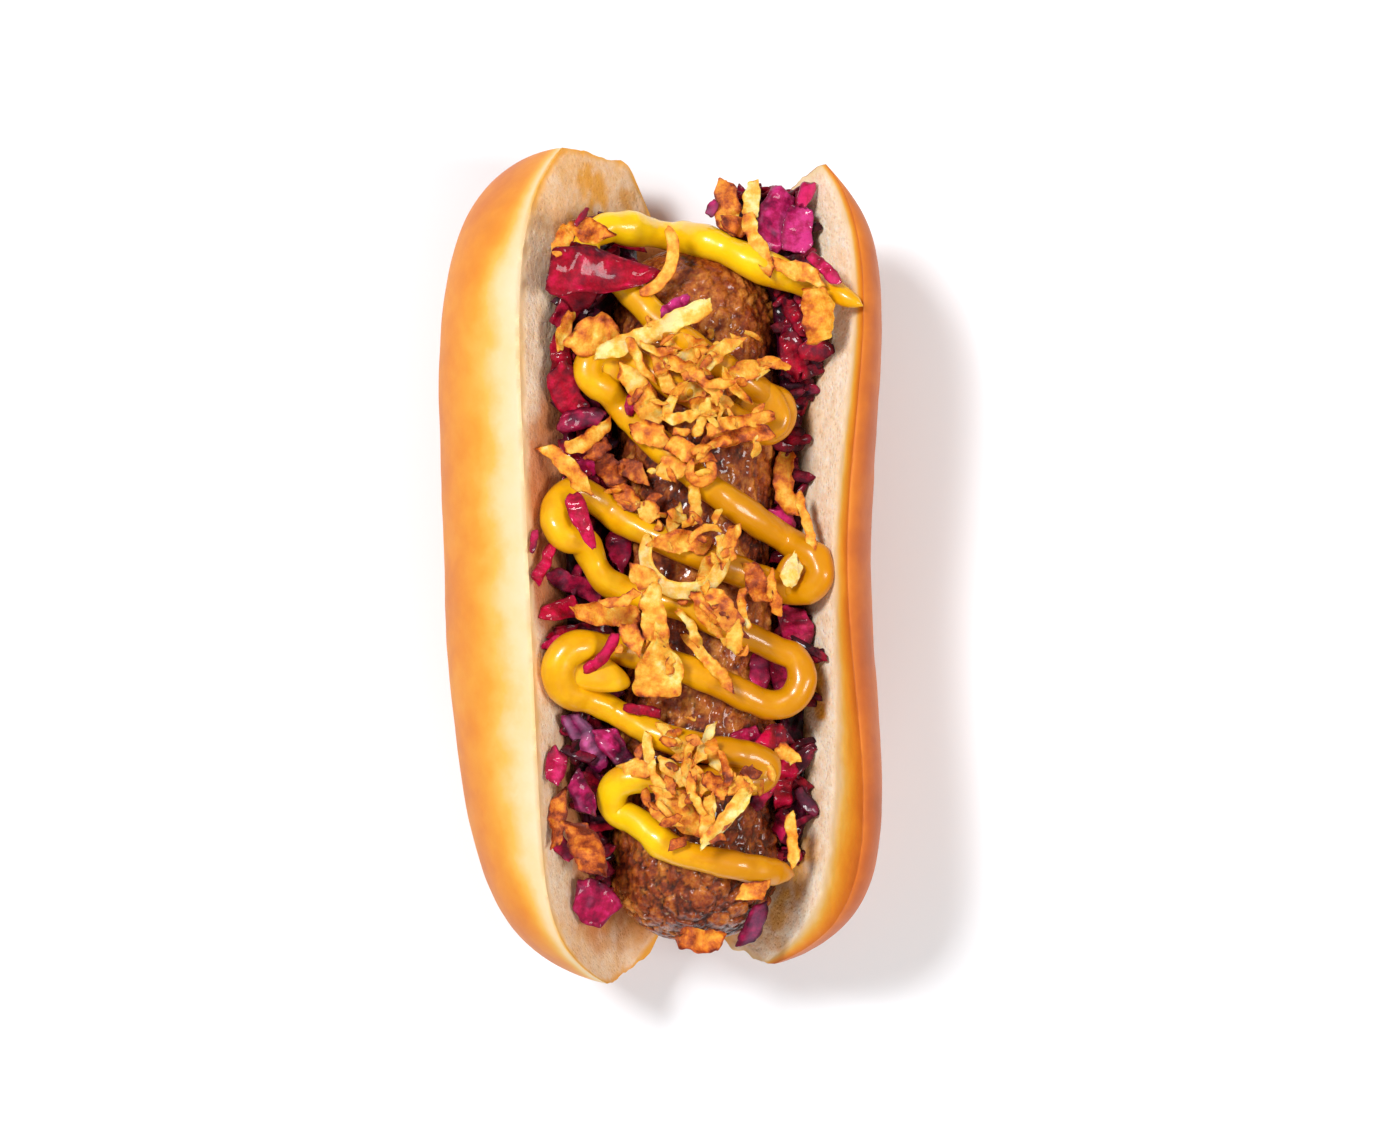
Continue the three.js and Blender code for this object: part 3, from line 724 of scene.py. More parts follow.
@dataclass(frozen=True)
class OnionFinish(Finish):
    """Crisp fried onion, pale gold in the middle and toasted at the rim."""

    slot: Slot = Slot.ONION
    name: str = "crisp_onion"
    toast: Stops = (
        (0.0, "fbe09a"),
        (0.25, "f6c454"),
        (0.45, "efa42e"),
        (0.65, "da7a1e"),
        (0.82, "b24e14"),
        (1.0, "6e240a"),
    )
    body: Body = Body(specular=0.4, inside=0.35, travel=(1.0, 0.45, 0.12), reach=1.0)

    def dress(self, shader: Shader) -> None:
        """Colours each flake by its own toast, mottled, with browner rims and crisp grains.

        Args:
            shader: the material's shader.
        """
        mottle = shader.patches(size=1.8, to=(-0.16, 0.16), detail=4, roughness=0.7, held=0.32)
        edge = shader.patches(size=3.2, to=(0.04, 0.42), held=0.38)
        toast = shader.plus(shader.value("tone"), mottle)
        toast = shader.plus(toast, shader.times(shader.value("rim"), edge))
        shader.feed("Base Color", shader.ramp(toast, self.toast))
        shader.feed("Roughness", shader.patches(size=1.2, to=(0.35, 0.6), held=0.35))
        shader.meet(self.body)
        shader.bump(shader.grain(0.7, 5, 0.7), depth=0.35, strength=0.8)


@dataclass(frozen=True)
class FloorFinish(Finish):
    """Plain pale studio floor, of no slot."""

    slot: None = None
    name: str = "studio_floor"
    white: tuple[float, float, float, float] = (0.9, 0.93, 0.97, 1.0)
    roughness: float = 0.9

    def dress(self, shader: Shader) -> None:
        """Matt white."""
        shader.feed("Base Color", self.white)
        shader.feed("Roughness", self.roughness)


# ---- Bun ----

# X and z of the middle of the pocket's rounded part, where the sausage lies.
POCKET_AXIS: Pair = (6.5, 28.5)


class Side(enum.IntEnum):
    """The bun's halves, with the sign of x on their side of the pocket."""

    DOME = -1
    BASE = 1


class End(enum.IntEnum):
    """The ends along Y, with their place in a pair."""

    HIGH = 0
    LOW = 1


@dataclass(frozen=True)
class Half:
    """One half of the bun. Pairs are for its high and low end."""

    wall: float  # from the pocket's lowest line to the rim
    depth: float  # of bread behind the wall
    power: float  # of the superellipse from the deepest line to the rim
    half_length: Pair
    notch: tuple[Pair, Pair]  # share of the wall where an end steps out, from and to
    rim_pull: tuple[Pair, Pair]  # how much the rim draws in, how suddenly
    end_round: tuple[Pair, Pair]  # inner and outer power of the way that the depth runs out at an end
    corner: Pair  # how far the corner between the end and the rim is rounded off


@dataclass(frozen=True)
class Smear:
    """A stain along a line on a cut face, seen from above."""

    start: Pair
    end: Pair
    width: float
    strength: float

    def amount(self, x: Array, y: Array) -> Array:
        """How strong it is at a place: it fades over its width from the nearest point of its line.

        Args:
            x: of the place.
            y: of the place.

        Returns:
            From 0 to the smear's strength.
        """
        run = np.subtract(self.end, self.start)
        away = np.stack([x, y], -1) - self.start
        t = np.clip(away @ run / (run @ run), 0, 1)
        distance = np.linalg.norm(away - t[..., None] * run, axis=-1)
        return self.strength * smooth(1.5 - distance / self.width)


@dataclass
class Bun:
    """A side-split bun opened in a V: a rounded pocket with straight walls above it, and crust outside."""

    axis: Pair = POCKET_AXIS
    pocket_radius: float = 16.0
    wall_turn: float = float(np.radians(62))  # how far round the pocket its rounded part goes
    hinge_depth: float = 16.5  # of bread under the pocket
    hinge_ends: Pair = (61.5, 66.0)
    dome: Half = Half(
        wall=50.0,
        depth=28.0,
        power=2.3,
        half_length=(76.0, 76.2),
        notch=((0.18, 0.44), (0.16, 0.4)),
        rim_pull=((0.38, 6), (0.43, 10)),
        end_round=((4, 4), (2.1, 2.5)),
        corner=(0.12, 0.3),
    )
    base: Half = Half(
        wall=48.3,
        depth=12.2,
        power=2.0,
        half_length=(72.4, 73.4),
        notch=((0.05, 1), (0.16, 0.4)),
        rim_pull=((0.22, 9), (0.6, 9)),
        end_round=((9, 1), (4, 3)),
        corner=(0.3, 0.3),
    )
    dome_slant: float = -0.045
    base_wave: Triple = (1.5, 49.0, 95.0)  # depth, peak and length
    torn: float = 0.7  # mm that the ends are torn
    tear_size: float = 3.2
    smears: tuple[Smear, ...] = (
        Smear((28.7, -16.0), (29.2, -27.0), 1.1, 1.0),
        Smear((27.5, -51.0), (24.0, -60.0), 2.0, 0.9),
        Smear((24.0, -60.0), (21.0, -66.0), 1.8, 0.85),
        Smear((26.5, -38.0), (25.8, -42.0), 1.3, 0.7),
        Smear((-13.0, 71.5), (-10.0, 64.0), 3.0, 0.95),
        Smear((-15.0, 66.0), (-16.5, 60.0), 2.6, 0.7),
        Smear((-6.0, 68.5), (-3.0, 63.0), 2.2, 0.85),
        Smear((27.0, 24.0), (27.5, 33.0), 1.2, 0.35),
        Smear((-12.0, -71.0), (-5.0, -70.0), 3.5, 0.45),
        Smear((-9.0, -66.0), (-4.0, -67.0), 2.0, 0.5),
        Smear((12.0, -69.0), (22.0, -69.5), 1.6, 0.6),
    )
    # How far the crust is baked at a distance over it from the rim.
    dome_bake: Rows = ((0, 0.02), (4, 0.15), (7.5, 0.3), (10.5, 0.42), (14, 0.52), (19, 0.56), (32, 0.63))
    base_bake: Rows = ((0, 0.64), (1.2, 0.74), (3, 0.81), (8, 0.84), (13, 0.8), (22, 0.7), (36, 0.62))
    # How far in from the flat half's rim its crumb starts, at a y.
    base_skin: Rows = ((-75, 9.5), (-50, 9.5), (-20, 5.5), (10, 4.0), (50, 2.2), (75, 2.2))
    # The height that juice reaches on a half's wall, at a y.
    dome_juice: Rows = (
        (-62, 40), (-50, 44), (-30, 44), (-18, 46), (-6, 53), (12, 55.5), (24, 52), (40, 42), (62, 41)
    )  # fmt: skip
    base_juice: Rows = (
        (-64, 33), (-46, 37), (-30, 37), (-8, 37), (10, 33.5), (24, 36), (36, 41), (52, 38), (66, 35)
    )  # fmt: skip
    juice_low: Pair = (73.0, 66.0)  # how far towards the low end it reaches, on the domed and the flat half
    juice_high: float = 66.0
    counts: tuple[int, int] = (190, 250)
    finish: BreadFinish = BreadFinish()

    @property
    def reach(self) -> float:
        """Half the width of the pocket's rounded part."""
        return self.pocket_radius * np.sin(self.wall_turn)

    def half(self, side: Side) -> Half:
        """The half on a side."""
        return self.dome if side is Side.DOME else self.base

    def wall(self, s: Array) -> tuple[Array, Array, Array, Array]:
        """The pocket wall at signed distance s round it: an arc, then a straight line on from its end.

        Args:
            s: distances from the pocket's lowest line.

        Returns:
            x and z from the pocket's axis, and the direction there into the bread.
        """
        turn = np.minimum(np.abs(s) / self.pocket_radius, self.wall_turn)
        straight = np.maximum(0, np.abs(s) - self.pocket_radius * self.wall_turn)
        x = np.sign(s) * (self.pocket_radius * np.sin(turn) + straight * np.cos(self.wall_turn))
        z = -self.pocket_radius * np.cos(turn) + straight * np.sin(self.wall_turn)
        return x, z, np.sign(s) * np.sin(turn), -np.cos(turn)

    def lean(self, side: Side, y: Array) -> Array:
        """How far a half's rim is pushed across: a slant along the domed half, a wave along the flat one.

        Args:
            side: the half.
            y: where along it.

        Returns:
            The push in mm.
        """
        if side is Side.DOME:
            return self.dome_slant * y
        depth, peak, length = self.base_wave
        return depth * np.cos(2 * np.pi * (y - peak) / length)

    def push(self, side: Side, y: Array, across: Array) -> Array:
        """How far a half's straight wall is pushed across: its lean by the square of the share of the wall.

        Args:
            side: the half.
            y: where along it.
            across: distance from the pocket's axis before the push.

        Returns:
            The push in mm.
        """
        s = self.pocket_radius * self.wall_turn + (across - self.reach) / np.cos(self.wall_turn)
        return self.lean(side, y) * np.clip(s / self.half(side).wall, 0, 1) ** 2

    def end_line(self, half: Half, end: End, share: Array) -> Array:
        """How far out a half's end is: it steps from the hinge's end to its own, its corner rounded off.

        Args:
            half: the half.
            end: which end.
            share: of the wall, from the hinge to the rim.

        Returns:
            Distances along Y from the middle.
        """
        start, stop = half.notch[end]
        wide = min(3 * (stop - start), 1 - start)
        early = smooth((share - start) / (stop - start))
        late = smooth((share - start) / wide)
        return lerp(self.hinge_ends[end], half.half_length[end], lerp(early, late, half.corner[end]))

    def quarter(self, side: Side, end: End, a: Array, b: Array, crust: bool) -> Array:
        """Points of one end of one half.

        The wall's point at distance a times the wall's length is moved out through the bread by a depth that
        is a superellipse of a and of b, so that it runs out at the rim and at the end.

        Args:
            side: the half.
            end: its end.
            a: from -1 at the domed half's rim through 0 at the hinge to 1 at the flat half's rim.
            b: from -1 at the low end to 1 at the high end.
            crust: for the outside, or else the cut face.

        Returns:
            (n, 3) points.
        """
        half = self.half(side)
        share = np.abs(a)
        pull, suddenness = half.rim_pull[end]
        s = a * half.wall * (1 - pull * np.abs(b) ** suddenness)
        y = b * self.end_line(half, end, share)
        torn = rough(np.stack([s, np.zeros_like(s), np.full_like(s, 5.0 + end)], -1), self.tear_size)
        y += self.torn * torn * np.abs(b) ** 24 * np.sign(b) * smooth(1.6 - 1.4 * share)

        rimward = np.maximum(0, share - 0.5) / 0.5
        depth = lerp(self.hinge_depth, half.depth, smooth(share / 0.5)) * power_arc(rimward, half.power)
        dome_end, base_end = self.roundness(self.dome, end, b), self.roundness(self.base, end, b)
        ends = lerp(dome_end, base_end, smooth((a + 0.25) / 0.5))
        x, z, out_x, out_z = self.wall(s)
        out = depth * ends if crust else 0
        x = self.axis[0] + x + out_x * out + self.lean(side, y) * share**2
        z = self.axis[1] + z + out_z * out
        return np.stack([x, y, np.maximum(0, z) if crust else z], -1)

    def roundness(self, half: Half, end: End, b: Array) -> Array:
        """How much of its depth a half keeps towards its end."""
        inner, outer = half.end_round[end]
        return (1 - np.abs(b) ** inner) ** (1 / outer)

    def sheet(self, a: Array, b: Array, crust: bool) -> Array:
        """Points of the crust or of the cut face, each from its own end of its own half.

        Args:
            a: the grid's values across the bun.
            b: the grid's values along it.
            crust: for the outside, or else the cut face.

        Returns:
            A grid of points.
        """
        points = np.empty(a.shape + (3,))
        for side in Side:
            for end in End:
                here = ((a < 0) == (side is Side.DOME)) & ((b > 0) == (end is End.HIGH))
                points[here] = self.quarter(side, end, a[here], b[here], crust)
        return points

    def surface(self) -> Surface:
        """Two grids of a and b, the cut face and the crust, that share the points along the rims and ends.

        Both are uneven away from those edges: pores and soft dents on the cut face, dents on the crust.

        Returns:
            The closed surface, with its named values.
        """
        across, along = self.counts
        a, b = np.meshgrid(end_spaced(across), end_spaced(along), indexing="ij")
        inside = power_arc(a, 6) * power_arc(b, 6)
        cut = self.sheet(a, b, False)
        crust = self.sheet(a, b, True)
        cut[..., 2] += inside * (0.25 * rough(cut, 6) + 0.22 * rough(cut, 1.6, 2, 3))
        crust += inside[..., None] * 0.25 * rough(crust, 14)[..., None] * np.array([1.0, 0.0, 0.5])
        crust[..., 2] = np.maximum(0, crust[..., 2])

        number = np.arange(a.size).reshape(a.shape)
        outer = number + a.size
        for edge in (np.s_[0, :], np.s_[-1, :], np.s_[:, 0], np.s_[:, -1]):
            outer[edge] = number[edge]
        quads = np.concatenate([self.faces(number, False), self.faces(outer, True)])
        values = {
            key: np.concatenate([on_cut.ravel(), on_crust.ravel()])
            for key, (on_cut, on_crust) in self.values(a, b, cut, crust).items()
        }
        points = np.concatenate([cut.reshape(-1, 3), crust.reshape(-1, 3)])
        used = np.unique(quads)
        renumber = np.zeros(len(points), int)
        renumber[used] = np.arange(len(used))
        kept = {key: v[used] for key, v in values.items()}
        return Surface(points[used], renumber[quads], np.empty((0, 3), int), kept)

    def faces(self, number: Array, turned: bool) -> Array:
        """The four-sided faces of a grid of point numbers."""
        corners = [number[:-1, :-1], number[1:, :-1], number[1:, 1:], number[:-1, 1:]]
        return np.stack(corners[::-1] if turned else corners, -1).reshape(-1, 4)

    def values(self, a: Array, b: Array, cut: Array, crust: Array) -> dict[str, tuple[Array, Array]]:
        """The named values on the cut face and on the crust: crumb, bake, juice and grease.

        Args:
            a: the grid's values across the bun.
            b: the grid's values along it.
            cut: points of the cut face.
            crust: points of the crust.

        Returns:
            For each value its array on the cut face and its array on the crust.
        """
        left = a < 0
        zero = np.zeros_like(a)
        from_rim = (1 - np.abs(a)) * np.where(left, self.dome.wall, self.base.wall)
        skin = np.interp(cut[..., 1], *np.transpose(self.base_skin))
        juice, grease = self.stains(left, cut)
        return {
            "crumb": (self.crumb(left, b, from_rim, skin, cut), zero),
            "bake": (self.border_bake(left, from_rim, skin, crust), self.crust_bake(left, b, crust)),
            "juice": (juice, zero),
            "grease": (grease, zero),
        }

    def crumb(self, left: Array, b: Array, from_rim: Array, skin: Array, cut: Array) -> Array:
        """Where the cut face is crumb: all of it but for a wandering border along the rims and ends.

        Args:
            left: where the grid is on the domed half.
            b: the grid's values along the bun.
            from_rim: distance from the rim.
            skin: width of the flat half's border.
            cut: points of the cut face.

        Returns:
            From 0 on crust to 1 on crumb.
        """
        from_end = (1 - np.abs(b)) * self.dome.half_length[0]
        wander = rough(cut, 2.5, 2)
        crumb = smooth((from_rim - np.where(left, 0.3, skin)) / 2.4 + 0.25 * wander)
        crumb *= smooth(from_end / 1.2 + 0.4 * wander)
        return crumb

    def border_bake(self, left: Array, from_rim: Array, skin: Array, crust: Array) -> Array:
        """How far the border of the cut face is baked.

        It is pale on the domed half, more so away from the ends, and golden at the flat half's rim.

        Args:
            left: where the grid is on the domed half.
            from_rim: distance from the rim.
            skin: width of the flat half's border.
            crust: points of the crust.

        Returns:
            The bake.
        """
        border = np.where(left, 0.1, np.clip(0.78 - 0.62 * from_rim / skin, 0.08, 1))
        return border + np.where(left, 0.3, 0) * smooth((np.abs(crust[..., 1]) - 60) / 10)

    def crust_bake(self, left: Array, b: Array, crust: Array) -> Array:
        """How far the crust is baked: by the distance over it from the rim, darker at the ends and the foot.

        The domed half browns sooner towards both ends, and the flat half towards its low end.

        Args:
            left: where the grid is on the domed half.
            b: the grid's values along the bun.
            crust: points of the crust.

        Returns:
            The bake.
        """
        rim = np.where(left, 0, len(left) - 1).astype(int)
        crossed = np.linalg.norm(crust - np.take_along_axis(crust, rim[..., None], 0), axis=-1)
        beyond = np.abs(crust[..., 1])
        hurry = 1 + 2 * smooth((beyond - 47) / 22) + 1.5 * smooth((beyond - 66) / 8)
        sooner = 1 + smooth((5 - crust[..., 1]) / 40)
        on_dome = np.interp(crossed * hurry, *np.transpose(self.dome_bake))
        bake = np.where(left, on_dome, np.interp(crossed * sooner, *np.transpose(self.base_bake)))
        bake = bake + 0.06 * np.abs(b) ** 12
        return lerp(bake, 0.95, smooth((11 - crust[..., 2]) / 12))

    def stains(self, left: Array, cut: Array) -> tuple[Array, Array]:
        """The stains of the cut face.

        Juice marks the wall up to its height, where fillings are packed. Grease is a faint film, stronger
        towards the ends of the domed half, with the smears on top, broken up by noise.

        Args:
            left: where the grid is on the domed half.
            cut: points of the cut face.

        Returns:
            Juice and grease, from 0 to 1.
        """
        x, y, height = cut[..., 0], cut[..., 1], cut[..., 2]
        on_dome, on_base = (np.interp(y, *np.transpose(rows)) for rows in (self.dome_juice, self.base_juice))
        level = np.where(left, on_dome, on_base)
        packed = smooth((y + np.where(left, *self.juice_low) + 3 * rough(cut, 3, 2, 5)) / 8)
        packed = packed * smooth((self.juice_high - y) / 6)
        soaked = smooth((level + 2.5 * rough(cut, 4, 3, 2) - height) / 6) * packed
        juice = soaked * np.where(left, 0.88, 0.35)
        oiled = 0.2 + 0.12 * rough(cut, 5, 2, 4) + 0.36 * smooth((y - 56) / 8) + 0.2 * smooth((-58 - y) / 8)
        grease = np.where(left, oiled, 0.04 + 0.5 * soaked)
        for smear in self.smears:
            grease = np.maximum(grease, smear.amount(x, y) * smooth(0.75 + 0.6 * rough(cut, 3, 3, 9)))
        return juice, grease

    def build(self) -> bpy.types.Object:
        """Makes the bun."""
        return make_piece("bread", self.surface(), self.finish, ["bun"])


# ---- Sausage ----


@dataclass
class Sausage:
    """A rod of coarse mince along Y with rounded ends."""

    axis: Pair = POCKET_AXIS
    radius: float = 15.3
    low_end: float = -68.6
    high_end: float = 58.0
    end_length: float = 15.0
    end_power: float = 2.3
    lump: float = 0.4
    lump_size: float = 4.5
    grain: float = 0.75
    grain_size: float = 2.9
    counts: tuple[int, int] = (320, 240)
    finish: SausageFinish = SausageFinish()

    def radius_at(self, y: Array) -> Array:
        """Radius at y: full along the middle and a superellipse over each end.

        Args:
            y: where along the rod.

        Returns:
            The radius, 0 past the ends.
        """
        from_end = np.minimum(y - self.low_end, self.high_end - y)
        t = np.clip(1 - from_end / self.end_length, 0, 1)
        return np.where(from_end > 0, self.radius * power_arc(t, self.end_power), 0)

    def surface(self) -> Surface:
        """A lathe about Y, its radius moved by lumps and by packed grains of mince of two sizes.

        The grains are warped by noise and coarser at the low end. Each one has its own height and tone, and
        the creases between them are darkened with painted shade. At the low end the tone falls towards +X,
        which is painted shade on the side away from the key light.

        Returns:
            The closed surface, with tone values and crease values, which are painted shade.
        """
        rings, sides = self.counts
        middle, half = (self.low_end + self.high_end) / 2, (self.high_end - self.low_end) / 2
        y = middle + half * end_spaced(rings + 2)[1:-1]
        angle = round_angles(sides)
        r = self.radius_at(y)[:, None]
        y = np.broadcast_to(y[:, None], (rings, sides))
        base = np.stack([r * np.sin(angle), y, r * np.cos(angle)], -1)
        warp = np.stack([rough(base, 3.0, 3, k) for k in (3.0, 5.0, 8.0)], -1)
        coarse = smooth((-15 - base[..., 1]) / 35)
        inside, number = grains((base + 1.3 * warp) * [1.0, 0.75, 1.0], self.grain_size, 5)
        fine, shade = grains((base + 0.7 * warp) * [1.0, 0.8, 1.0], self.grain_size * 0.5, 9)

        height = np.sqrt(smooth(inside * 1.4)) * (0.6 + 0.8 * number) + 0.45 * np.sqrt(fine)
        relief = self.lump * noise(base, self.lump_size)
        relief = relief + self.grain * lerp(0.65, 1.0, coarse) * (height - 1.1)
        relief = relief + 0.18 * rough(base, 1.3, 2, 14)
        scale = (r + relief * np.minimum(1, r / 8)) / r
        points = base * np.stack([scale, np.ones_like(scale), scale], -1) + [self.axis[0], 0, self.axis[1]]

        tone = 0.42 + 0.34 * (number - 0.5) + 0.26 * (shade - 0.5) + 0.16 * rough(base, 6, 3, 4)
        tone += 0.02 * smooth((base[..., 1] - 34) / 10) - 0.05 * coarse
        # Painted shade: at the coarse low end the tone falls towards +X, the side turned away from the key
        # light.
        tone -= 0.14 * coarse * base[..., 0] / self.radius
        # Painted shade in the creases between grains, deeper at the coarse low end.
        crease = smooth(1 - inside / 0.2) * lerp(0.35, 0.7, coarse)
        crease = crease + smooth(1 - fine / 0.2) * lerp(0.15, 0.4, coarse)
        return closed_tube(points, {"crease": crease, "tone": tone})

    def build(self) -> bpy.types.Object:
        """Makes the sausage."""
        return make_piece("sausage_mince", self.surface(), self.finish, ["sausage"])


# ---- What things land on ----


@dataclass
class Heap:
    """Cabbage packed between the sausage and one wall of the pocket."""

    side: Side
    tops: Array  # rows of y and the height of the top beside the wall
    fall: float  # how much lower the top is beside the sausage
    past_sausage: float  # x that it reaches in to beyond the sausage's high end
    seed: int
    bun: Bun
    sausage: Sausage
    bottom: float = 28.2
    gap: float = 0.5  # left to the sausage and the wall
    lump: float = 0.9
    lump_size: float = 5.0
    ring_step: float = 0.6
    ring_sides: int = 44

    def sides(self, y: Array, z: Array) -> tuple[Array, Array]:
        """Where the heap's sides are.

        Args:
            y: where along the heap.
            z: at what height.

        Returns:
            X of the side against the sausage and of the side against the wall.
        """
        bun, axis_x, axis_z = self.bun, *self.bun.axis
        r = self.sausage.radius_at(np.minimum(y, self.sausage.high_end - 3))
        rise = z - axis_z
        beside = axis_x + self.side * (np.sqrt(np.maximum(0, r * r - rise * rise)) + self.gap)
        inner = lerp(beside, self.past_sausage, smooth((y - (self.sausage.high_end - 6)) / 8))
        below = bun.pocket_radius * np.cos(bun.wall_turn)
        across = bun.reach + (rise + below) / np.tan(bun.wall_turn) - self.gap / np.sin(bun.wall_turn)
        return inner, axis_x + self.side * across + bun.push(self.side, y, across)

    def height(self, y: Array, across: Array) -> Array:
        """Height of the top: it falls towards the sausage and has lumps.

        Args:
            y: where along the heap.
            across: share of the way from the sausage to the wall.

        Returns:
            The height.
        """
        y, across = np.broadcast_arrays(y, across)
        place = np.stack([across * 8, y, np.full(y.shape, self.seed * self.lump_size)], -1)
        top = np.interp(y, *self.tops.T) - self.fall * (1 - across)
        return top + self.lump * noise(place, self.lump_size)

    def seen_top(self, x: Array, y: Array) -> Array:
        """Height of the top at a place seen from above.

        Args:
            x: of the place.
            y: of the place.

        Returns:
            The height, or 0 beside the heap.
        """
        inner, outer = self.sides(y, np.interp(y, *self.tops.T) - self.fall / 2)
        across = (x - inner) / (outer - inner)
        low, high = self.tops[[0, -1], 0]
        inside = (across > 0) & (across < 1) & (y >= low) & (y <= high)
        return np.where(inside, self.height(y, across), 0)

    def core(self) -> Surface:
        """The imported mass: rings round the heap's section along its length, roughened on top and at the ends.

        Returns:
            The closed surface, with the values of a shred.
        """
        low, high = self.tops[[0, -1], 0]
        y = np.linspace(low, high, int((high - low) / self.ring_step))[:, None]
        angle = round_angles(self.ring_sides)
        across = 0.5 + 0.5 * self.side * signed_power(np.sin(angle), 0.6)[None]
        up = 0.5 + 0.5 * signed_power(np.cos(angle), 0.6)[None]
        z = lerp(self.bottom, self.height(y, across), up)
        inner, outer = self.sides(np.broadcast_to(y, z.shape), z)
        points = np.stack([lerp(inner, outer, across), np.broadcast_to(y, z.shape), z], -1)
        relief = rough(points * [1.0, 0.6, 1.0], 2.4, 3, self.seed)
        points[..., 2] += 0.8 * relief * up
        points[..., 1] += 1.1 * rough(points, 2.8, 3, self.seed + 4)
        # Painted shade: the core's tone falls in the hollows of its relief and rises on its bumps; it also
        # rises towards its foot.
        tone = 0.14 + 0.25 * np.clip(relief, -0.5, 0.8) + 0.22 * (1 - up)
        none = np.zeros_like(tone)
        return closed_tube(points, {"tone": tone, "rim": none, "vein": none, "hue": none + 0.5})


class Landing:
    """Heights over the hot dog seen from above, which each piece that is laid on it raises."""

    CELL = 0.5
    X0, Y0 = -48.0, -82.0  # middle of the first cell
    COLUMNS, ROWS = 192, 328

    def __init__(self, bun: Bun, sausage: Sausage, heaps: list[Heap]) -> None:
        """Starts with the bun's walls, the sausage and the heaps.

        Args:
            bun: the bun.
            sausage: the sausage.
            heaps: the cabbage on both sides.
        """
        x = self.X0 + self.CELL * np.arange(self.COLUMNS)
        y = self.Y0 + self.CELL * np.arange(self.ROWS)
        x, y = np.meshgrid(x, y)
        r = sausage.radius_at(y)
        across = np.abs(x - sausage.axis[0])
        rod = np.where(across < r, sausage.axis[1] + np.sqrt(np.maximum(0, r * r - across**2)), 0)
        walls = np.where(x < bun.axis[0], *(self.wall_top(bun, side, x, y) for side in Side))
        self.z = np.maximum.reduce([walls, rod, *(heap.seen_top(x, y) for heap in heaps)])

    def wall_top(self, bun: Bun, side: Side, x: Array, y: Array) -> Array:
        """Height of the pocket's wall and of the rim on one side, falling away outside the rim.

        Args:
            bun: the bun.
            side: the half.
            x: of the places.
            y: of the places.

        Returns:
            The heights.
        """
        reach, radius = bun.reach, bun.pocket_radius
        across = np.abs(x - bun.axis[0])
        across = np.abs(x - bun.axis[0] - bun.push(side, y, across))
        rim = reach + (bun.half(side).wall - radius * bun.wall_turn) * np.cos(bun.wall_turn)
        up = (np.minimum(across, rim) - reach) * np.tan(bun.wall_turn)
        straight = up - radius * np.cos(bun.wall_turn) - 0.5 * np.maximum(0, across - rim)
        round_part = -np.sqrt(np.maximum(0, radius**2 - across**2))
        return bun.axis[1] + np.where(across < reach, round_part, straight)

    def cell(self, x: Array, y: Array) -> tuple[Array, Array]:
        """Row and column of a place.

        Args:
            x: of the place.
            y: of the place.

        Returns:
            The nearest row and column of the map.
        """
        i = np.floor((x - self.X0) / self.CELL + 0.5).astype(int)
        j = np.floor((y - self.Y0) / self.CELL + 0.5).astype(int)
        return np.clip(j, 0, self.ROWS - 1), np.clip(i, 0, self.COLUMNS - 1)

    def at(self, x: Array, y: Array) -> Array:
        """Height at a place."""
        return self.z[self.cell(x, y)]

    def lift(self, points: Array) -> None:
        """Raises the map to these points."""
        np.maximum.at(self.z, self.cell(points[..., 0], points[..., 1]), points[..., 2])


# ---- Shreds ----


@dataclass(frozen=True)
class Shred:
    """A flat strip. Lengths are in mm and angles in degrees."""

    x: float  # of its middle
    y: float
    length: float
    width: float
    heading: float
    bend: float = 0.0  # how far it turns in plan
    roll: float = 0.0  # how far it is rolled up from flat
    taper: float = 0.0  # share of its width that it loses towards its far end, or below 0 its near end
    tone: float = 0.0  # how much its tone differs from those of its kind
    hue: float = 0.0

    def narrowing(self, t: Array) -> Array:
        """The share of its width that the taper leaves, at t from -1 to 1 along it."""
        return 1 - self.taper * (t + 1) / 2 if self.taper >= 0 else 1 + self.taper * (1 - t) / 2

    def place(self, pitch: float, along: Array, across: Array, up: Array) -> Array:
        """Turns the strip's own points into its bent, rolled and pitched shape about its middle.

        The point is narrowed by the taper, turned by the roll, put on an arc of the bend, raised by the pitch
        and turned to the heading.

        Args:
            pitch: slope in radians.
            along: distance along the strip.
            across: -0.5 to 0.5 across it.
            up: distance up from its middle.

        Returns:
            (..., 3) points.
        """
        t = 2 * along / self.length
        rounding = lerp(1, np.sqrt(np.maximum(0, 1 - t * t)), 0.35)
        v = across * self.width * self.narrowing(t) * rounding
        roll, turn, heading = np.radians([self.roll, self.bend, self.heading])
        side = v * np.cos(roll) - up * np.sin(roll)
        rise = v * np.sin(roll) + up * np.cos(roll)
        if abs(turn) > 1e-3:
            r = self.length / turn
            along, side = (r - side) * np.sin(turn * t / 2), r - (r - side) * np.cos(turn * t / 2)
        flat = along * np.cos(pitch)
        x = flat * np.cos(heading) - side * np.sin(heading)
        y = flat * np.sin(heading) + side * np.cos(heading)
        return np.stack([x, y, rise + along * np.sin(pitch)], -1)


@dataclass(frozen=True)
class Laid:
    """A shred that has been let down onto what lies under it."""

    shred: Shred
    pitch: float
    middle: Triple


SINK = 0.5  # mm that a shred settles into what it lands on
STEEPEST = 0.35  # radians
PROBES = np.array([0.15, 0.3, 0.45])  # shares of a shred's length where the slope under it is read
PROBE_SPAN = 0.6  # between the means of the two ends' probes
CONTACT_STEP = 0.45  # mm between the points that are tried for contact
RING_BEND = 90.0  # a shred that bends further is a ring, which lies level


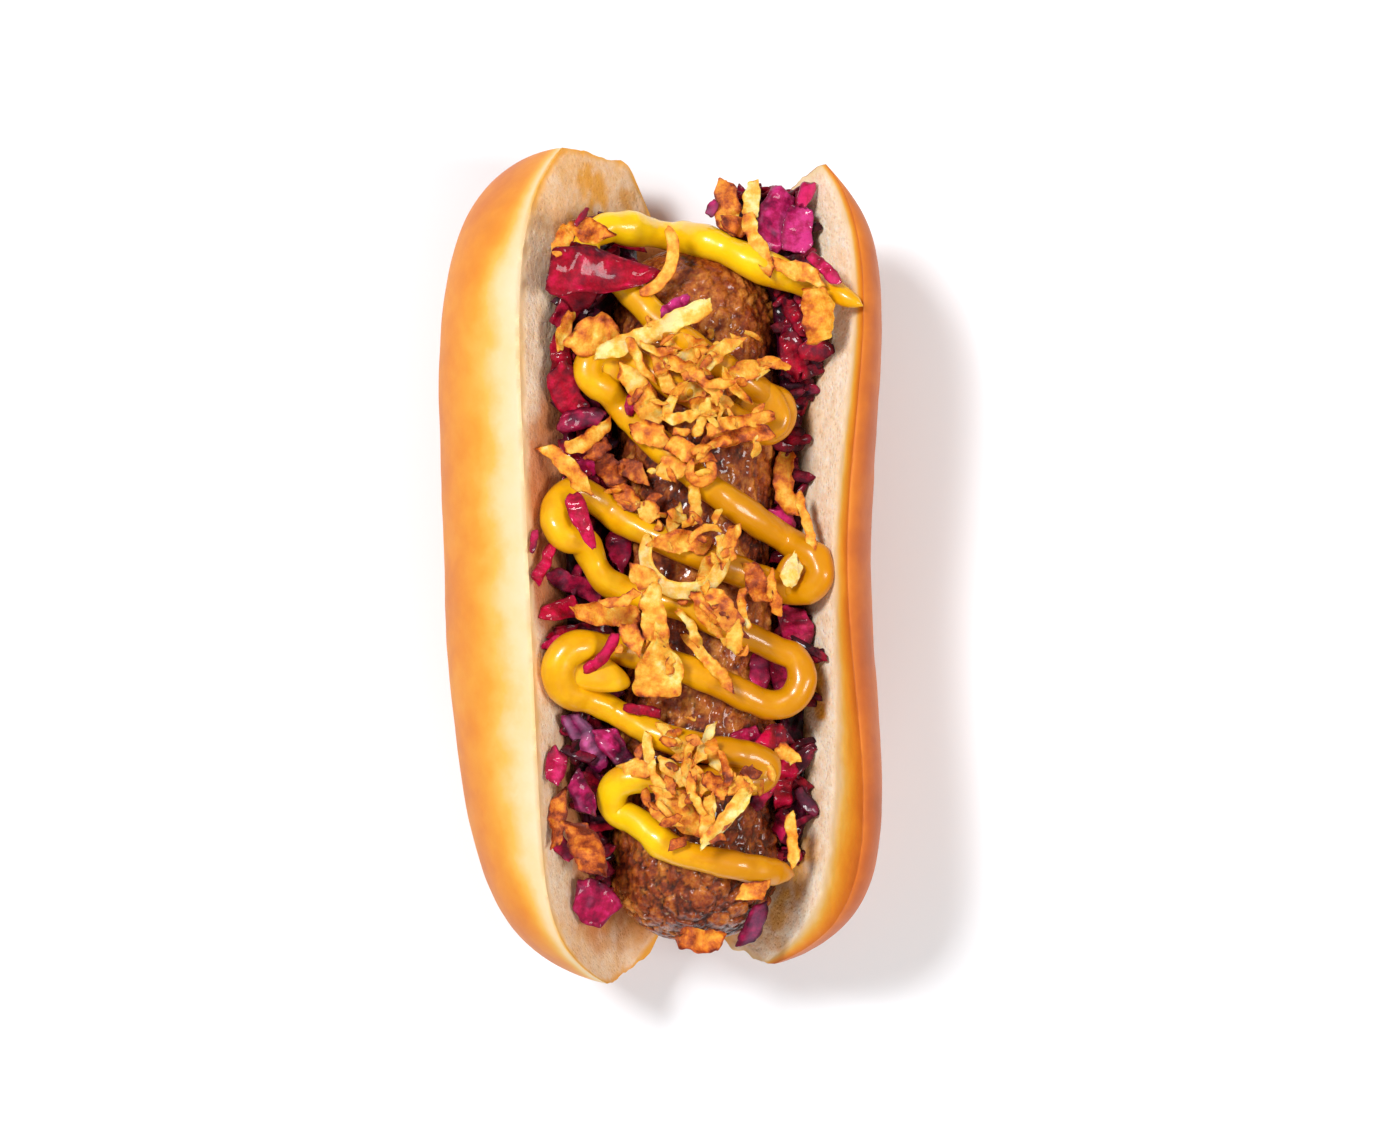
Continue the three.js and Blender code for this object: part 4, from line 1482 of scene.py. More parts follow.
def lay(landing: Landing, shred: Shred, thickness: float, level: float, raises: bool = True) -> Laid:
    """Tips a shred to the slope under its ends, lowers it until it touches, and raises the map.

    Args:
        landing: the map of heights.
        shred: what is laid.
        thickness: of the shred.
        level: height within the thickness that the map is raised to, -0.5 to 0.5.
        raises: whether the map is raised at all.

    Returns:
        The laid shred.
    """
    heading = np.radians(shred.heading)
    steps = PROBES * shred.length

    def mean(direction: int) -> float:
        """Mean height under one half."""
        d = direction * steps
        return landing.at(shred.x + d * np.cos(heading), shred.y + d * np.sin(heading)).mean()

    slope = (mean(1) - mean(-1)) / (PROBE_SPAN * shred.length)
    pitch = 0.0 if abs(shred.bend) > RING_BEND else float(np.clip(slope, -STEEPEST, STEEPEST))
    rows, columns = (int(np.ceil(size / CONTACT_STEP)) + 1 for size in (shred.length, shred.width))
    along, across = np.meshgrid(np.linspace(-0.5, 0.5, rows) * shred.length, np.linspace(-0.5, 0.5, columns))
    under = shred.place(pitch, along, across, np.full_like(along, -thickness / 2))
    z = (landing.at(shred.x + under[..., 0], shred.y + under[..., 1]) - under[..., 2]).max()
    middle = (shred.x, shred.y, max(0, z) - SINK)
    if raises:
        landing.lift(shred.place(pitch, along, across, np.full_like(along, thickness * level)) + middle)
    return Laid(shred, pitch, middle)


@dataclass(frozen=True)
class StripForm:
    """How a kind of shred is made."""

    thickness: float
    end_power: float  # of its ends' superellipse: high is blunt
    edge_power: float  # of its edges' rounding: low is square
    ragged: float  # share of its width that its outline wanders
    slant: float  # share of its width that its ends are cut askew
    tear: float  # mm that its ends are torn
    cup: float  # share of its width that its sheet cups
    fold: float  # mm of sharp folds
    ruffle: float  # mm that its edges wave
    fibre: float  # mm of ridges along it
    lump: float  # mm of its lumps
    lump_size: float
    shade: float  # how much its tone changes across it
    raised: float  # how much its tone follows its relief: painted light and shade on cabbage, toast on onion
    rows: int
    sides: int

    def surface(self, laid: Laid, seed: float, tone: float, hue: float = 0.0) -> Surface:
        """A closed strip: rings of a flattened superellipse along the shred.

        The outline wanders by noise along each edge, the ends are sheared and torn, and the sheet is raised
        by a cup, folds, a wave of its edges, ridges along it and lumps.

        Args:
            laid: the shred and its place.
            seed: shift of its random relief.
            tone: the value that colours it.
            hue: the value that picks its hue.

        Returns:
            The surface, with tone, rim, vein and hue values.
        """
        width = laid.shred.width
        draw = np.random.default_rng(int(seed * 1000))
        cup, near_slant, far_slant, across_shade, along_shade = draw.uniform(-1, 1, 5)
        t = end_spaced(self.rows + 2)[1:-1, None]
        angle = round_angles(self.sides)[None]
        side, top = (signed_power(turned, self.edge_power) for turned in (np.cos(angle), np.sin(angle)))
        closing = power_arc(t, self.end_power)
        slant = lerp(near_slant, far_slant, (1 + t) / 2) * self.slant
        along, across = self.outline(laid.shred, seed, side, closing, slant)

        sheet = np.stack(np.broadcast_arrays(along, across * width, 0.5 * top + seed), -1)
        fibre = noise(sheet * [0.22, 1.0, 0.3], 0.9, seed + 6)
        lump = rough(sheet, self.lump_size, 2, seed + 9)
        crease = np.abs(noise(sheet * [0.7, 1.0, 0.1], 3.2, seed + 12))
        crease = crease + np.abs(noise(sheet * [1.0, 0.6, 0.1], 2.4, seed + 14))
        up = 0.5 * self.thickness * top * closing**0.5 * (1 - 0.35 * side**4)
        up = up + (0.3 + 0.7 * cup) * self.cup * width * (side**2 - 0.4) * closing
        up = up + self.fold * (crease - 0.5)
        up = up + self.ruffle * side**2 * noise(sheet * [1.0, 0.2, 0.2], 2.0, seed + 4)
        up = up + self.fibre * fibre + self.lump * lump * (0.4 + 0.6 * closing)
        points = laid.shred.place(laid.pitch, along, across, up) + laid.middle

        rim = np.clip(side**6 + (1 - closing) ** 1.5 + np.abs(t) ** 16, 0, 1) * np.ones_like(along)
        vein = smooth(1 - np.abs(noise(sheet * [0.16, 1.0, 0.1], 1.5, seed + 20)) / 0.22) * (1 - rim)
        # Tone follows the relief: on cabbage, painted light on ridges and painted shade in valleys; on onion,
        # raised parts toast darker.
        relief = self.raised * (lump + 0.5 * fibre + 1.2 * (crease - 0.4))
        shade = self.shade * (across_shade * side + along_shade * t)
        values = {"rim": rim, "tone": tone + shade + relief, "vein": vein * (0.04 + 0.4 * hue**2)}
        return closed_tube(points, {**values, "hue": 0 * along + hue})

    def outline(
        self, shred: Shred, seed: float, side: Array, closing: Array, slant: Array
    ) -> tuple[Array, Array]:
        """Where the strip's points are in plan, before it is bent.

        Args:
            shred: the strip.
            seed: shift of its random outline.
            side: from -1 to 1 round a ring.
            closing: from 0 to 1 and back along the strip.
            slant: how far each ring is sheared.

        Returns:
            Distance along the strip, and -0.5 to 0.5 across it.
        """
        t = end_spaced(self.rows + 2)[1:-1, None]
        along = np.broadcast_to(t * shred.length / 2, (self.rows, self.sides))
        edge = 9 * np.sign(np.cos(round_angles(self.sides)[None]))
        place = np.stack(np.broadcast_arrays(along, edge, 0 * t + seed), -1)
        across = 0.5 * side * closing * (1 + self.ragged * rough(place, max(1.6, shred.width * 0.7), 3, seed))
        end = np.stack(np.broadcast_arrays(side * shred.width / 2, 4 * np.sign(t), 0 * t + seed), -1)
        torn = self.tear * rough(end, 1.8, 2, seed + 3) * np.abs(t) ** 4 * np.sign(t)
        return along + slant * shred.width * across + torn, across


def shreds(rows: list[tuple]) -> list[Shred]:
    """The shreds of a list of rows."""
    return [Shred(*row) for row in rows]


# ---- Cabbage ----


@dataclass
class Cabbage:
    """Two packed heaps of pickled red cabbage, and single shreds on top of what is laid later."""

    heaps: list[Heap]
    under: list[Shred]
    over: list[Shred]
    last: list[Shred]
    thickness: float = 1.7
    small_thickness: float = 1.0
    fillers: int = 230
    # Ranges of length, width, heading, bend and roll: of the fillers, and of those that face a heap's ends.
    filler: tuple[Pair, ...] = ((3.5, 8), (1.3, 2.6), (0, 180), (-50, 50), (-25, 25))
    facing: int = 22  # at each end of a heap
    facer: tuple[Pair, ...] = ((3.5, 7), (1.4, 2.8), (-35, 35), (-50, 50), (20, 90))
    facer_tone: float = 0.15
    spread: float = 0.3  # of the shreds' hues
    large_tones: Pair = (0.48, 0.68)
    small_tones: Pair = (0.08, 0.5)
    single_tones: Pair = (0.66, 0.72)
    finish: CabbageFinish = CabbageFinish()
    form: StripForm = StripForm(
        thickness=1.1, end_power=14, edge_power=0.4, ragged=0.26, slant=0.6, tear=1.0, cup=0.14, fold=1.15,
        ruffle=0.5, fibre=0.2, lump=0.22, lump_size=1.5, shade=0.14, raised=0.24, rows=36, sides=28,
    )  # fmt: skip
    leaf: StripForm = StripForm(
        thickness=1.2, end_power=14, edge_power=0.42, ragged=0.22, slant=0.5, tear=0.8, cup=0.14, fold=0.7,
        ruffle=0.4, fibre=0.16, lump=0.16, lump_size=1.8, shade=0.14, raised=0.18, rows=36, sides=28,
    )  # fmt: skip
    small: StripForm = StripForm(
        thickness=0.9, end_power=8, edge_power=0.5, ragged=0.3, slant=0.6, tear=0.5, cup=0.12, fold=0.6,
        ruffle=0.4, fibre=0.14, lump=0.16, lump_size=1.2, shade=0.12, raised=0.2, rows=14, sides=12,
    )  # fmt: skip
    laid_fillers: list[Laid] = field(default_factory=list)
    laid_under: list[Laid] = field(default_factory=list)
    laid_over: list[Laid] = field(default_factory=list)
    laid_last: list[Laid] = field(default_factory=list)

    def lay_under(self, landing: Landing) -> None:
        """Lets the shreds of the heaps down."""
        self.laid_fillers = self.scatter(landing)
        self.laid_under = [lay(landing, shred, self.thickness, level=0.2) for shred in self.under]

    def lay_over(self, landing: Landing) -> None:
        """Lets the single shreds down."""
        self.laid_over = [lay(landing, shred, self.thickness, level=0.5) for shred in self.over]

    def lay_last(self, landing: Landing) -> None:
        """Lets down what lies on the fried onions."""
        self.laid_last = [lay(landing, shred, self.small_thickness, level=0.5) for shred in self.last]

    def scatter(self, landing: Landing) -> list[Laid]:
        """Small shreds strewn over both heaps, which fill the gaps between the large ones.

        Args:
            landing: the map of heights, which they don't raise.

        Returns:
            The laid shreds, with those that face the heaps' ends.
        """
        draw = np.random.default_rng(11)
        laid = []
        for heap in self.heaps:
            low, high = heap.tops[[0, -1], 0]
            for y in draw.uniform(low + 3, high - 3, self.fillers // 2):
                inner, outer = heap.sides(y, np.interp(y, *heap.tops.T) - heap.fall / 2)
                x = float(lerp(inner, outer, draw.uniform(0.3, 0.97)))
                shred = Shred(x, y, *drawn(draw, self.filler))
                laid.append(lay(landing, shred, self.small_thickness, level=0, raises=False))
            laid += self.face(heap, draw)
        return laid

    def face(self, heap: Heap, draw: np.random.Generator) -> list[Laid]:
        """Small shreds at all angles against both ends of a heap.

        Args:
            heap: the heap.
            draw: the random numbers.

        Returns:
            The shreds, where they are stuck.
        """
        laid = []
        for end, outward in ((0, -1), (-1, 1)):
            y = heap.tops[end, 0] - 0.5 * outward
            for z in draw.uniform(heap.bottom - 1, heap.tops[end, 1] + 1, self.facing):
                inner, outer = heap.sides(y, z)
                x = float(lerp(inner, outer, draw.uniform(0.12, 0.88)))
                shred = Shred(x, y, *drawn(draw, self.facer), tone=self.facer_tone)
                laid.append(Laid(shred, draw.uniform(-0.6, 0.6), (x, y, z)))
        return laid

    def pieces(self, laid: list[Laid], form: StripForm, tones: Pair, seed: int) -> list[Surface]:
        """The surfaces of laid shreds, each with its own tone and hue.

        Args:
            laid: the shreds.
            form: how they are made.
            tones: lowest and highest tone.
            seed: of the random numbers.

        Returns:
            A surface for each shred.
        """
        draw = np.random.default_rng(seed)
        made = []
        for one in laid:
            tone = draw.uniform(*tones) + one.shred.tone
            hue = self.spread * draw.uniform(0, 1) ** 2 + one.shred.hue
            made.append(form.surface(one, draw.uniform(0, 40), tone, float(np.clip(hue, 0, 1))))
        return made

    def on_side(self, laid: list[Laid], heap: Heap) -> list[Laid]:
        """The laid shreds on a heap's side of the pocket."""
        return [one for one in laid if (one.shred.x < heap.bun.axis[0]) == (heap.side is Side.DOME)]

    def build(self) -> list[bpy.types.Object]:
        """Makes a piece of each heap and one of the single shreds.

        Returns:
            The three pieces.
        """
        made = []
        for heap, name in zip(self.heaps, ("left", "right")):
            large = self.pieces(self.on_side(self.laid_under, heap), self.form, self.large_tones, seed=3)
            small = self.pieces(self.on_side(self.laid_fillers, heap), self.small, self.small_tones, seed=5)
            parts = [heap.core(), *large, *small]
            made.append(make_piece(f"cabbage_heap_{name}", join(parts), self.finish, [f"cabbage_{name}"]))
        single = self.pieces(self.laid_over, self.leaf, self.single_tones, seed=7)
        single += self.pieces(self.laid_last, self.small, self.single_tones, seed=9)
        nodes = [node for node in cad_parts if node.startswith("cabbage_leaf")]
        made.append(make_piece("cabbage_shreds", join(single), self.finish, nodes))
        return made


# ---- Mustard ----


def curve(points: Array, step: float) -> Array:
    """A centripetal Catmull-Rom curve through points, as points an even step apart.

    Between two points it is a cubic whose slopes come from the chords on both sides, each divided by the
    square root of its length.

    Args:
        points: (n, d) points.
        step: distance between the points returned.

    Returns:
        (m, d) points.
    """
    ends = np.concatenate([[2 * points[0] - points[1]], points, [2 * points[-1] - points[-2]]])
    p0, p1, p2, p3 = ends[:-3], ends[1:-2], ends[2:-1], ends[3:]
    gaps = np.sqrt(np.linalg.norm(np.diff(ends, axis=0), axis=1))[:, None]
    g0, g1, g2 = gaps[:-2], gaps[1:-1], gaps[2:]
    m1 = g1 * ((p1 - p0) / g0 - (p2 - p0) / (g0 + g1) + (p2 - p1) / g1)
    m2 = g1 * ((p2 - p1) / g1 - (p3 - p1) / (g1 + g2) + (p3 - p2) / g2)
    t = np.linspace(0, 1, 24, endpoint=False)[:, None, None]
    cubic = p1 + m1 * t + (3 * (p2 - p1) - 2 * m1 - m2) * t**2 + (2 * (p1 - p2) + m1 + m2) * t**3
    dense = np.concatenate([cubic.transpose(1, 0, 2).reshape(-1, points.shape[1]), points[-1:]])
    gone = np.concatenate([[0], np.cumsum(np.linalg.norm(np.diff(dense, axis=0), axis=1))])
    at = np.linspace(0, gone[-1], int(np.ceil(gone[-1] / step)) + 1)
    return np.stack([np.interp(at, gone, column) for column in dense.T], -1)


@dataclass(frozen=True)
class Pool:
    """Mustard that fills the inside of a turn: a lens, with a tip drawn out on one side or none."""

    x: float
    y: float
    radius: float
    tip: float = 0.0  # mm that the tip reaches past the lens
    heading: float = 0.0  # of the tip, in degrees


@dataclass
class Mustard:
    """A bead of mustard that turns back at alternate sides and drapes over what it crosses."""

    route: list[tuple]
    pools: tuple[Pool, ...] = (
        Pool(18.4, 27.4, 5.4),
        Pool(-9.2, 35.0, 3.4),
        Pool(25.2, -1.8, 4.4),
        Pool(-13.6, -18.4, 3.6, tip=6.0, heading=-16.0),
        Pool(16.6, -36.4, 4.0),
    )
    radius: float = 2.5
    start_length: float = 10.0  # that it tapers over where the route starts
    end_length: float = 5.0
    route_step: float = 1.2
    ring_step: float = 0.5
    clearance: float = 0.3
    window: int = 3  # points on each side that a height is worked out from
    evenings: int = 4  # times that each height is averaged with its neighbours'
    sides: int = 20
    pool_counts: tuple[int, int] = (20, 40)
    finish: MustardFinish = MustardFinish()
    path: Array = field(default_factory=lambda: np.empty((0, 3)))  # where it lies, once it is draped

    def plan(self) -> Array:
        """The route seen from above, with each turn as five points of half a circle.

        Returns:
            (n, 2) points.
        """
        points = []
        for row in self.route:
            if len(row) == 2:
                points.append(row)
                continue
            x, y, r, heading = row
            out = np.array([np.cos(np.radians(heading)), np.sin(np.radians(heading))])
            downwards = -1 if out[0] > 0 else 1
            angle = np.radians(heading + downwards * np.array([-90, -45, 0, 45, 90]))
            centre = np.array([x, y]) - r * out
            points += list(centre + r * np.stack([np.cos(angle), np.sin(angle)], -1))
        return curve(np.array(points, float), self.route_step)

    def drape(self, landing: Landing) -> None:
        """Rests the bead on the map and raises the map by it.

        Each point's height is halfway between the highest and the mean of the heights at which the bead would
        touch what is near, and is then evened out along the route.

        Args:
            landing: the map of heights.
        """
        plan = self.plan()
        steps = np.arange(-self.radius, self.radius + landing.CELL / 2, landing.CELL)
        dx, dy = (v.ravel() for v in np.meshgrid(steps, steps))
        near = np.hypot(dx, dy) < self.radius
        dx, dy = dx[near], dy[near]
        hump = np.sqrt(self.radius**2 - dx**2 - dy**2)
        x, y = plan[:, :1] + dx, plan[:, 1:] + dy
        rests = (landing.at(x, y) + hump).max(1)
        padded = np.pad(rests, self.window, constant_values=np.nan)
        windows = np.lib.stride_tricks.sliding_window_view(padded, 2 * self.window + 1)
        z = lerp(np.nanmax(windows, 1), np.nanmean(windows, 1), 0.5) + self.clearance
        for _ in range(self.evenings):
            z = np.convolve(np.pad(z, 1, mode="edge"), (0.25, 0.5, 0.25), mode="valid")
        landing.lift(np.stack([x, y, z[:, None] + hump], -1))
        self.path = np.column_stack([plan, z])

    def thickness(self, path: Array) -> Array:
        """The bead's radius along its path.

        It tapers by a square root towards both ends, swells and thins in long and short waves, is a little
        fuller in the left turns, and is thick and lumpy on the top strand.

        Args:
            path: (n, 3) points, a ring step apart.

        Returns:
            (n,) radii.
        """
        count = len(path)
        from_end = np.minimum(np.arange(count), np.arange(count)[::-1]) * self.ring_step
        first = np.arange(count) < count / 2
        taper = np.sqrt(np.clip(from_end / np.where(first, self.start_length, self.end_length), 0.02, 1))
        taper *= np.sqrt(smooth(from_end / 1.2 + 0.1))
        swell = 1.06 + 0.1 * noise(path, 7, 3) + 0.05 * noise(path, 3, 8)
        swell += 0.1 * smooth((-11 - path[:, 0]) / 4) * smooth((25 - np.abs(path[:, 1])) / 5)
        swell += smooth((path[:, 1] - 46) / 6) * (0.12 + 0.24 * noise(path, 4.2, 12))
        return self.radius * taper * swell

    def surface(self) -> Surface:
        """Rings of a circle along the path, made uneven by noise.

        Returns:
            The closed surface, with its tone.
        """
        path = curve(self.path, self.ring_step)
        along = np.gradient(path, axis=0)
        along /= np.linalg.norm(along, axis=1)[:, None]
        side = np.cross([0, 0, 1], along)
        side /= np.linalg.norm(side, axis=1)[:, None]
        above = np.cross(along, side)
        r = self.thickness(path)[:, None, None]
        angle = round_angles(self.sides)[None, :, None]
        points = path[:, None] + side[:, None] * r * np.cos(angle) + above[:, None] * r * np.sin(angle)
        points += 0.16 * rough(points, 3, 2, 6)[..., None]
        return closed_tube(points, {"tone": self.tone(points)})

    def tone(self, points: Array) -> Array:
        """How light the yellow is: lemon on the top strand and round the lowest turn, and deeper to the
        right, which is painted shade on the side away from the key light.

        Args:
            points: (..., 3) places.

        Returns:
            From about 0 for the deepest to 1 for lemon.
        """
        x, y = points[..., 0], points[..., 1]
        fresh = smooth((y - 48) / 6) + smooth((6 - x) / 10) * smooth((-36 - y) / 4)
        # painted shade: right of the middle and below the top strand the yellow deepens, away from the key
        # light
        return 0.5 + 0.38 * fresh - 0.45 * smooth((x - 1) / 12) * (1 - smooth((y - 40) / 6))

    def fill(self, pool: Pool) -> Surface:
        """A pool's lens: rings of a superellipse about a vertical line, at the height of the bead beside it.

        Its outline is a little uneven, its top dips in the middle, and its tip is drawn out by the square of
        the cosine of the angle from the tip's heading.

        Args:
            pool: the pool.

        Returns:
            The closed surface, with its tone.
        """
        rings, sides = self.pool_counts
        away = np.hypot(self.path[:, 0] - pool.x, self.path[:, 1] - pool.y)
        level = self.path[away < pool.radius + self.radius, 2].mean()
        tilt = np.linspace(0.04, np.pi - 0.04, rings)[:, None]
        angle = round_angles(sides)[None]
        out = pool.radius * np.sin(tilt) ** 0.6 * (1 + 0.06 * np.sin(3 * angle + pool.x))
        is_top = np.cos(tilt) > 0
        half = np.where(is_top, 1.8, 2.2)
        dip = 0.4 * smooth(1 - out / pool.radius) * is_top
        up = level + half * signed_power(np.cos(tilt), 0.8) - dip
        along = out * np.cos(angle) + pool.tip * np.clip(np.cos(angle), 0, 1) ** 2 * out / pool.radius
        across = -out * np.sin(angle)
        c, s = np.cos(np.radians(pool.heading)), np.sin(np.radians(pool.heading))
        x, y = pool.x + along * c - across * s, pool.y + along * s + across * c
        points = np.stack([x, y, up + 0 * angle], -1)
        points[..., 2] += 0.25 * noise(points, 3, 4)
        return closed_tube(points[::-1], {"tone": self.tone(points[::-1])})

    def build(self) -> bpy.types.Object:
        """Makes the bead and the pools in its turns."""
        parts = [self.surface(), *(self.fill(pool) for pool in self.pools)]
        return make_piece("mustard_bead", join(parts), self.finish, ["mustard"])


# ---- Fried onions ----


@dataclass
class FriedOnions:
    """Crisp flakes and rings of fried onion along the middle, with small bits among them."""

    flakes: list[Shred]
    thickness: float = 1.2
    tones: Pair = (0.34, 0.48)
    bits: int = 100
    bit_thickness: float = 0.5
    bit_tones: Pair = (0.25, 0.75)
    bit_scatter: float = 2.6  # mm from the middle of a flake
    # Ranges of a bit's length, width, heading, bend and roll.
    bit_ranges: tuple[Pair, ...] = ((1.6, 4.2), (0.9, 2.0), (0, 180), (-60, 60), (-40, 40))
    finish: OnionFinish = OnionFinish()
    form: StripForm = StripForm(
        thickness=0.55, end_power=12, edge_power=0.5, ragged=0.36, slant=0.8, tear=1.1, cup=0.24, fold=1.0,
        ruffle=0.8, fibre=0.22, lump=0.25, lump_size=1.4, shade=0.08, raised=0.2, rows=36, sides=24,
    )  # fmt: skip
    ring: StripForm = StripForm(
        thickness=0.8, end_power=8, edge_power=0.6, ragged=0.14, slant=0.3, tear=0.4, cup=0.1, fold=0.25,
        ruffle=0.3, fibre=0.12, lump=0.15, lump_size=1.4, shade=0.06, raised=0.12, rows=60, sides=20,
    )  # fmt: skip
    bit: StripForm = StripForm(
        thickness=0.5, end_power=6, edge_power=0.6, ragged=0.4, slant=0.8, tear=0.5, cup=0.25, fold=0.6,
        ruffle=0.3, fibre=0.1, lump=0.2, lump_size=0.9, shade=0.05, raised=0.15, rows=8, sides=8,
    )  # fmt: skip
    laid: list[Laid] = field(default_factory=list)
    laid_bits: list[Laid] = field(default_factory=list)

    def lay(self, landing: Landing) -> None:
        """Lets the flakes down, and then small bits near those along the middle.

        Args:
            landing: the map of heights.
        """
        self.laid = [lay(landing, flake, self.thickness, level=-0.2) for flake in self.flakes]
        draw = np.random.default_rng(31)
        middle = [flake for flake in self.flakes if -6 < flake.x < 20 and abs(flake.y) < 52]
        for k in draw.integers(0, len(middle), self.bits):
            x, y = draw.normal((middle[k].x, middle[k].y), self.bit_scatter)
            bit = Shred(x, y, *drawn(draw, self.bit_ranges))
            self.laid_bits.append(lay(landing, bit, self.bit_thickness, level=0, raises=False))

    def build(self) -> bpy.types.Object:
        """Makes one piece of all the flakes and bits.

        Returns:
            The piece.
        """
        draw = np.random.default_rng(23)
        parts = []
        for one in self.laid:
            form = self.ring if abs(one.shred.bend) > RING_BEND else self.form
            parts.append(form.surface(one, draw.uniform(0, 40), draw.uniform(*self.tones) + one.shred.tone))
        for one in self.laid_bits:
            parts.append(self.bit.surface(one, draw.uniform(0, 40), draw.uniform(*self.bit_tones)))
        nodes = [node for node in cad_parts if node.startswith("fried_onions")]
        return make_piece("onion_flakes", join(parts), self.finish, nodes)


# ---- Studio ----


@dataclass(frozen=True)
class Light:
    """A square area light. Lengths are in metres and the power is in watts."""

    name: str
    place: Triple
    size: float
    power: float
    reflected: bool = True  # whether it shows in shiny surfaces

    def build(self, aim: float) -> None:
        """Makes the light, turned to a point on the frame's Z axis.

        Args:
            aim: height of the point.
        """
        data = bpy.data.lights.new(self.name, "AREA")
        data.size = self.size
        data.energy = self.power
        lamp = bpy.data.objects.new(self.name, data)
        lamp.location = self.place
        away = lamp.location.copy()
        away.z -= aim
        lamp.rotation_euler = away.to_track_quat("Z", "Y").to_euler()
        lamp.visible_glossy = self.reflected
        bpy.context.scene.collection.objects.link(lamp)


@dataclass
class Studio:
    """Camera straight above, a soft key light from the upper left and a pale floor. Lengths are in metres."""

    eye: Triple = (0.0075, -0.0015, 0.740)
    lens: float = 100.0  # mm, as the sensor's width
    sensor: float = 36.0
    near: float = 0.01  # distance from which the camera sees
    lights: tuple[Light, ...] = (
        Light("key", (-0.58, 0.47, 1.29), size=0.34, power=18.0),
        Light("fill", (0.96, -0.15, 1.16), size=0.4, power=9.5),
        Light("front", (0.05, -1.15, 1.0), size=0.8, power=6.0, reflected=False),
    )
    aim: float = 0.03  # height of the point that the lights face
    sky: float = 0.28  # how bright it is
    sky_colour: tuple[float, float, float, float] = (1.0, 0.94, 0.87, 1.0)
    floor_reach: float = 4.0
    floor_drop: float = 0.0002
    finish: FloorFinish = FloorFinish()

    def build(self) -> None:
        """Makes the camera, the lights, the world and the floor."""
        scene = bpy.context.scene
        camera = bpy.data.objects.new("camera", bpy.data.cameras.new("camera"))
        camera.location = self.eye
        camera.data.lens = self.lens
        camera.data.sensor_width = self.sensor
        camera.data.clip_start = self.near
        scene.collection.objects.link(camera)
        scene.camera = camera
        for light in self.lights:
            light.build(self.aim)
        world = bpy.data.worlds.new("studio")
        world.use_nodes = True
        background = world.node_tree.nodes["Background"]
        background.inputs["Color"].default_value = self.sky_colour
        background.inputs["Strength"].default_value = self.sky
        scene.world = world
        scene.view_settings.view_transform = "Standard"
        scene.view_settings.look = "None"
        self.floor()

    def floor(self) -> None:
        """A wide square just under the bun."""
        mesh = bpy.data.meshes.new("floor")
        reach, height = self.floor_reach, -self.floor_drop
        corners = [(sx * reach, sy * reach, height) for sx, sy in ((-1, -1), (1, -1), (1, 1), (-1, 1))]
        mesh.from_pydata(corners, [], [(0, 1, 2, 3)])
        mesh.materials.append(self.finish.material())
        floor = bpy.data.objects.new("floor", mesh)
        bpy.context.scene.collection.objects.link(floor)


# ---- The hot dog ----

# Rows of y and of the height of a heap's top beside the wall.
LEFT_TOPS = [
    (-60, 30), (-52, 36), (-42, 40.5), (-30, 42), (0, 42.5), (30, 42), (52, 42.5), (60, 39), (63, 33)
]  # fmt: skip
RIGHT_TOPS = [
    (-53, 30), (-46, 34), (-30, 33.5), (-12, 36.5), (6, 33.5), (20, 31.5), (42, 38), (62, 37), (68, 31)
]  # fmt: skip

# [x, y] of the mustard's route, or [x, y, radius, heading] of a turn's outermost point.
MUSTARD_ROUTE = [
    (36.4, 46), (28, 50.4), (18.5, 53.8), (10, 58), (0, 60.4), (-9, 61),
    (-13, 56, 4, 190),
    (1, 43),
    (22.4, 27.4, 3.4, 0),
    (-12.6, 35.2, 3.3, 175),
    (-5, 26.6), (9, 14),
    (29, -1.6, 3.6, -12),
    (-4, 7),
    (-18.3, 8.4, 4.4, 185),
    (-9.4, -2.6), (5, -7.6),
    (25.8, -20.4, 5, -5),
    (6, -18.8),
    (-17.8, -19.6, 4.7, 187),
    (2, -31),
    (19.4, -36.4, 2, 0),
    (-8.3, -42, 3.6, 185),
    (2, -50.4), (12, -53.2), (24.6, -55.8),
]  # fmt: skip

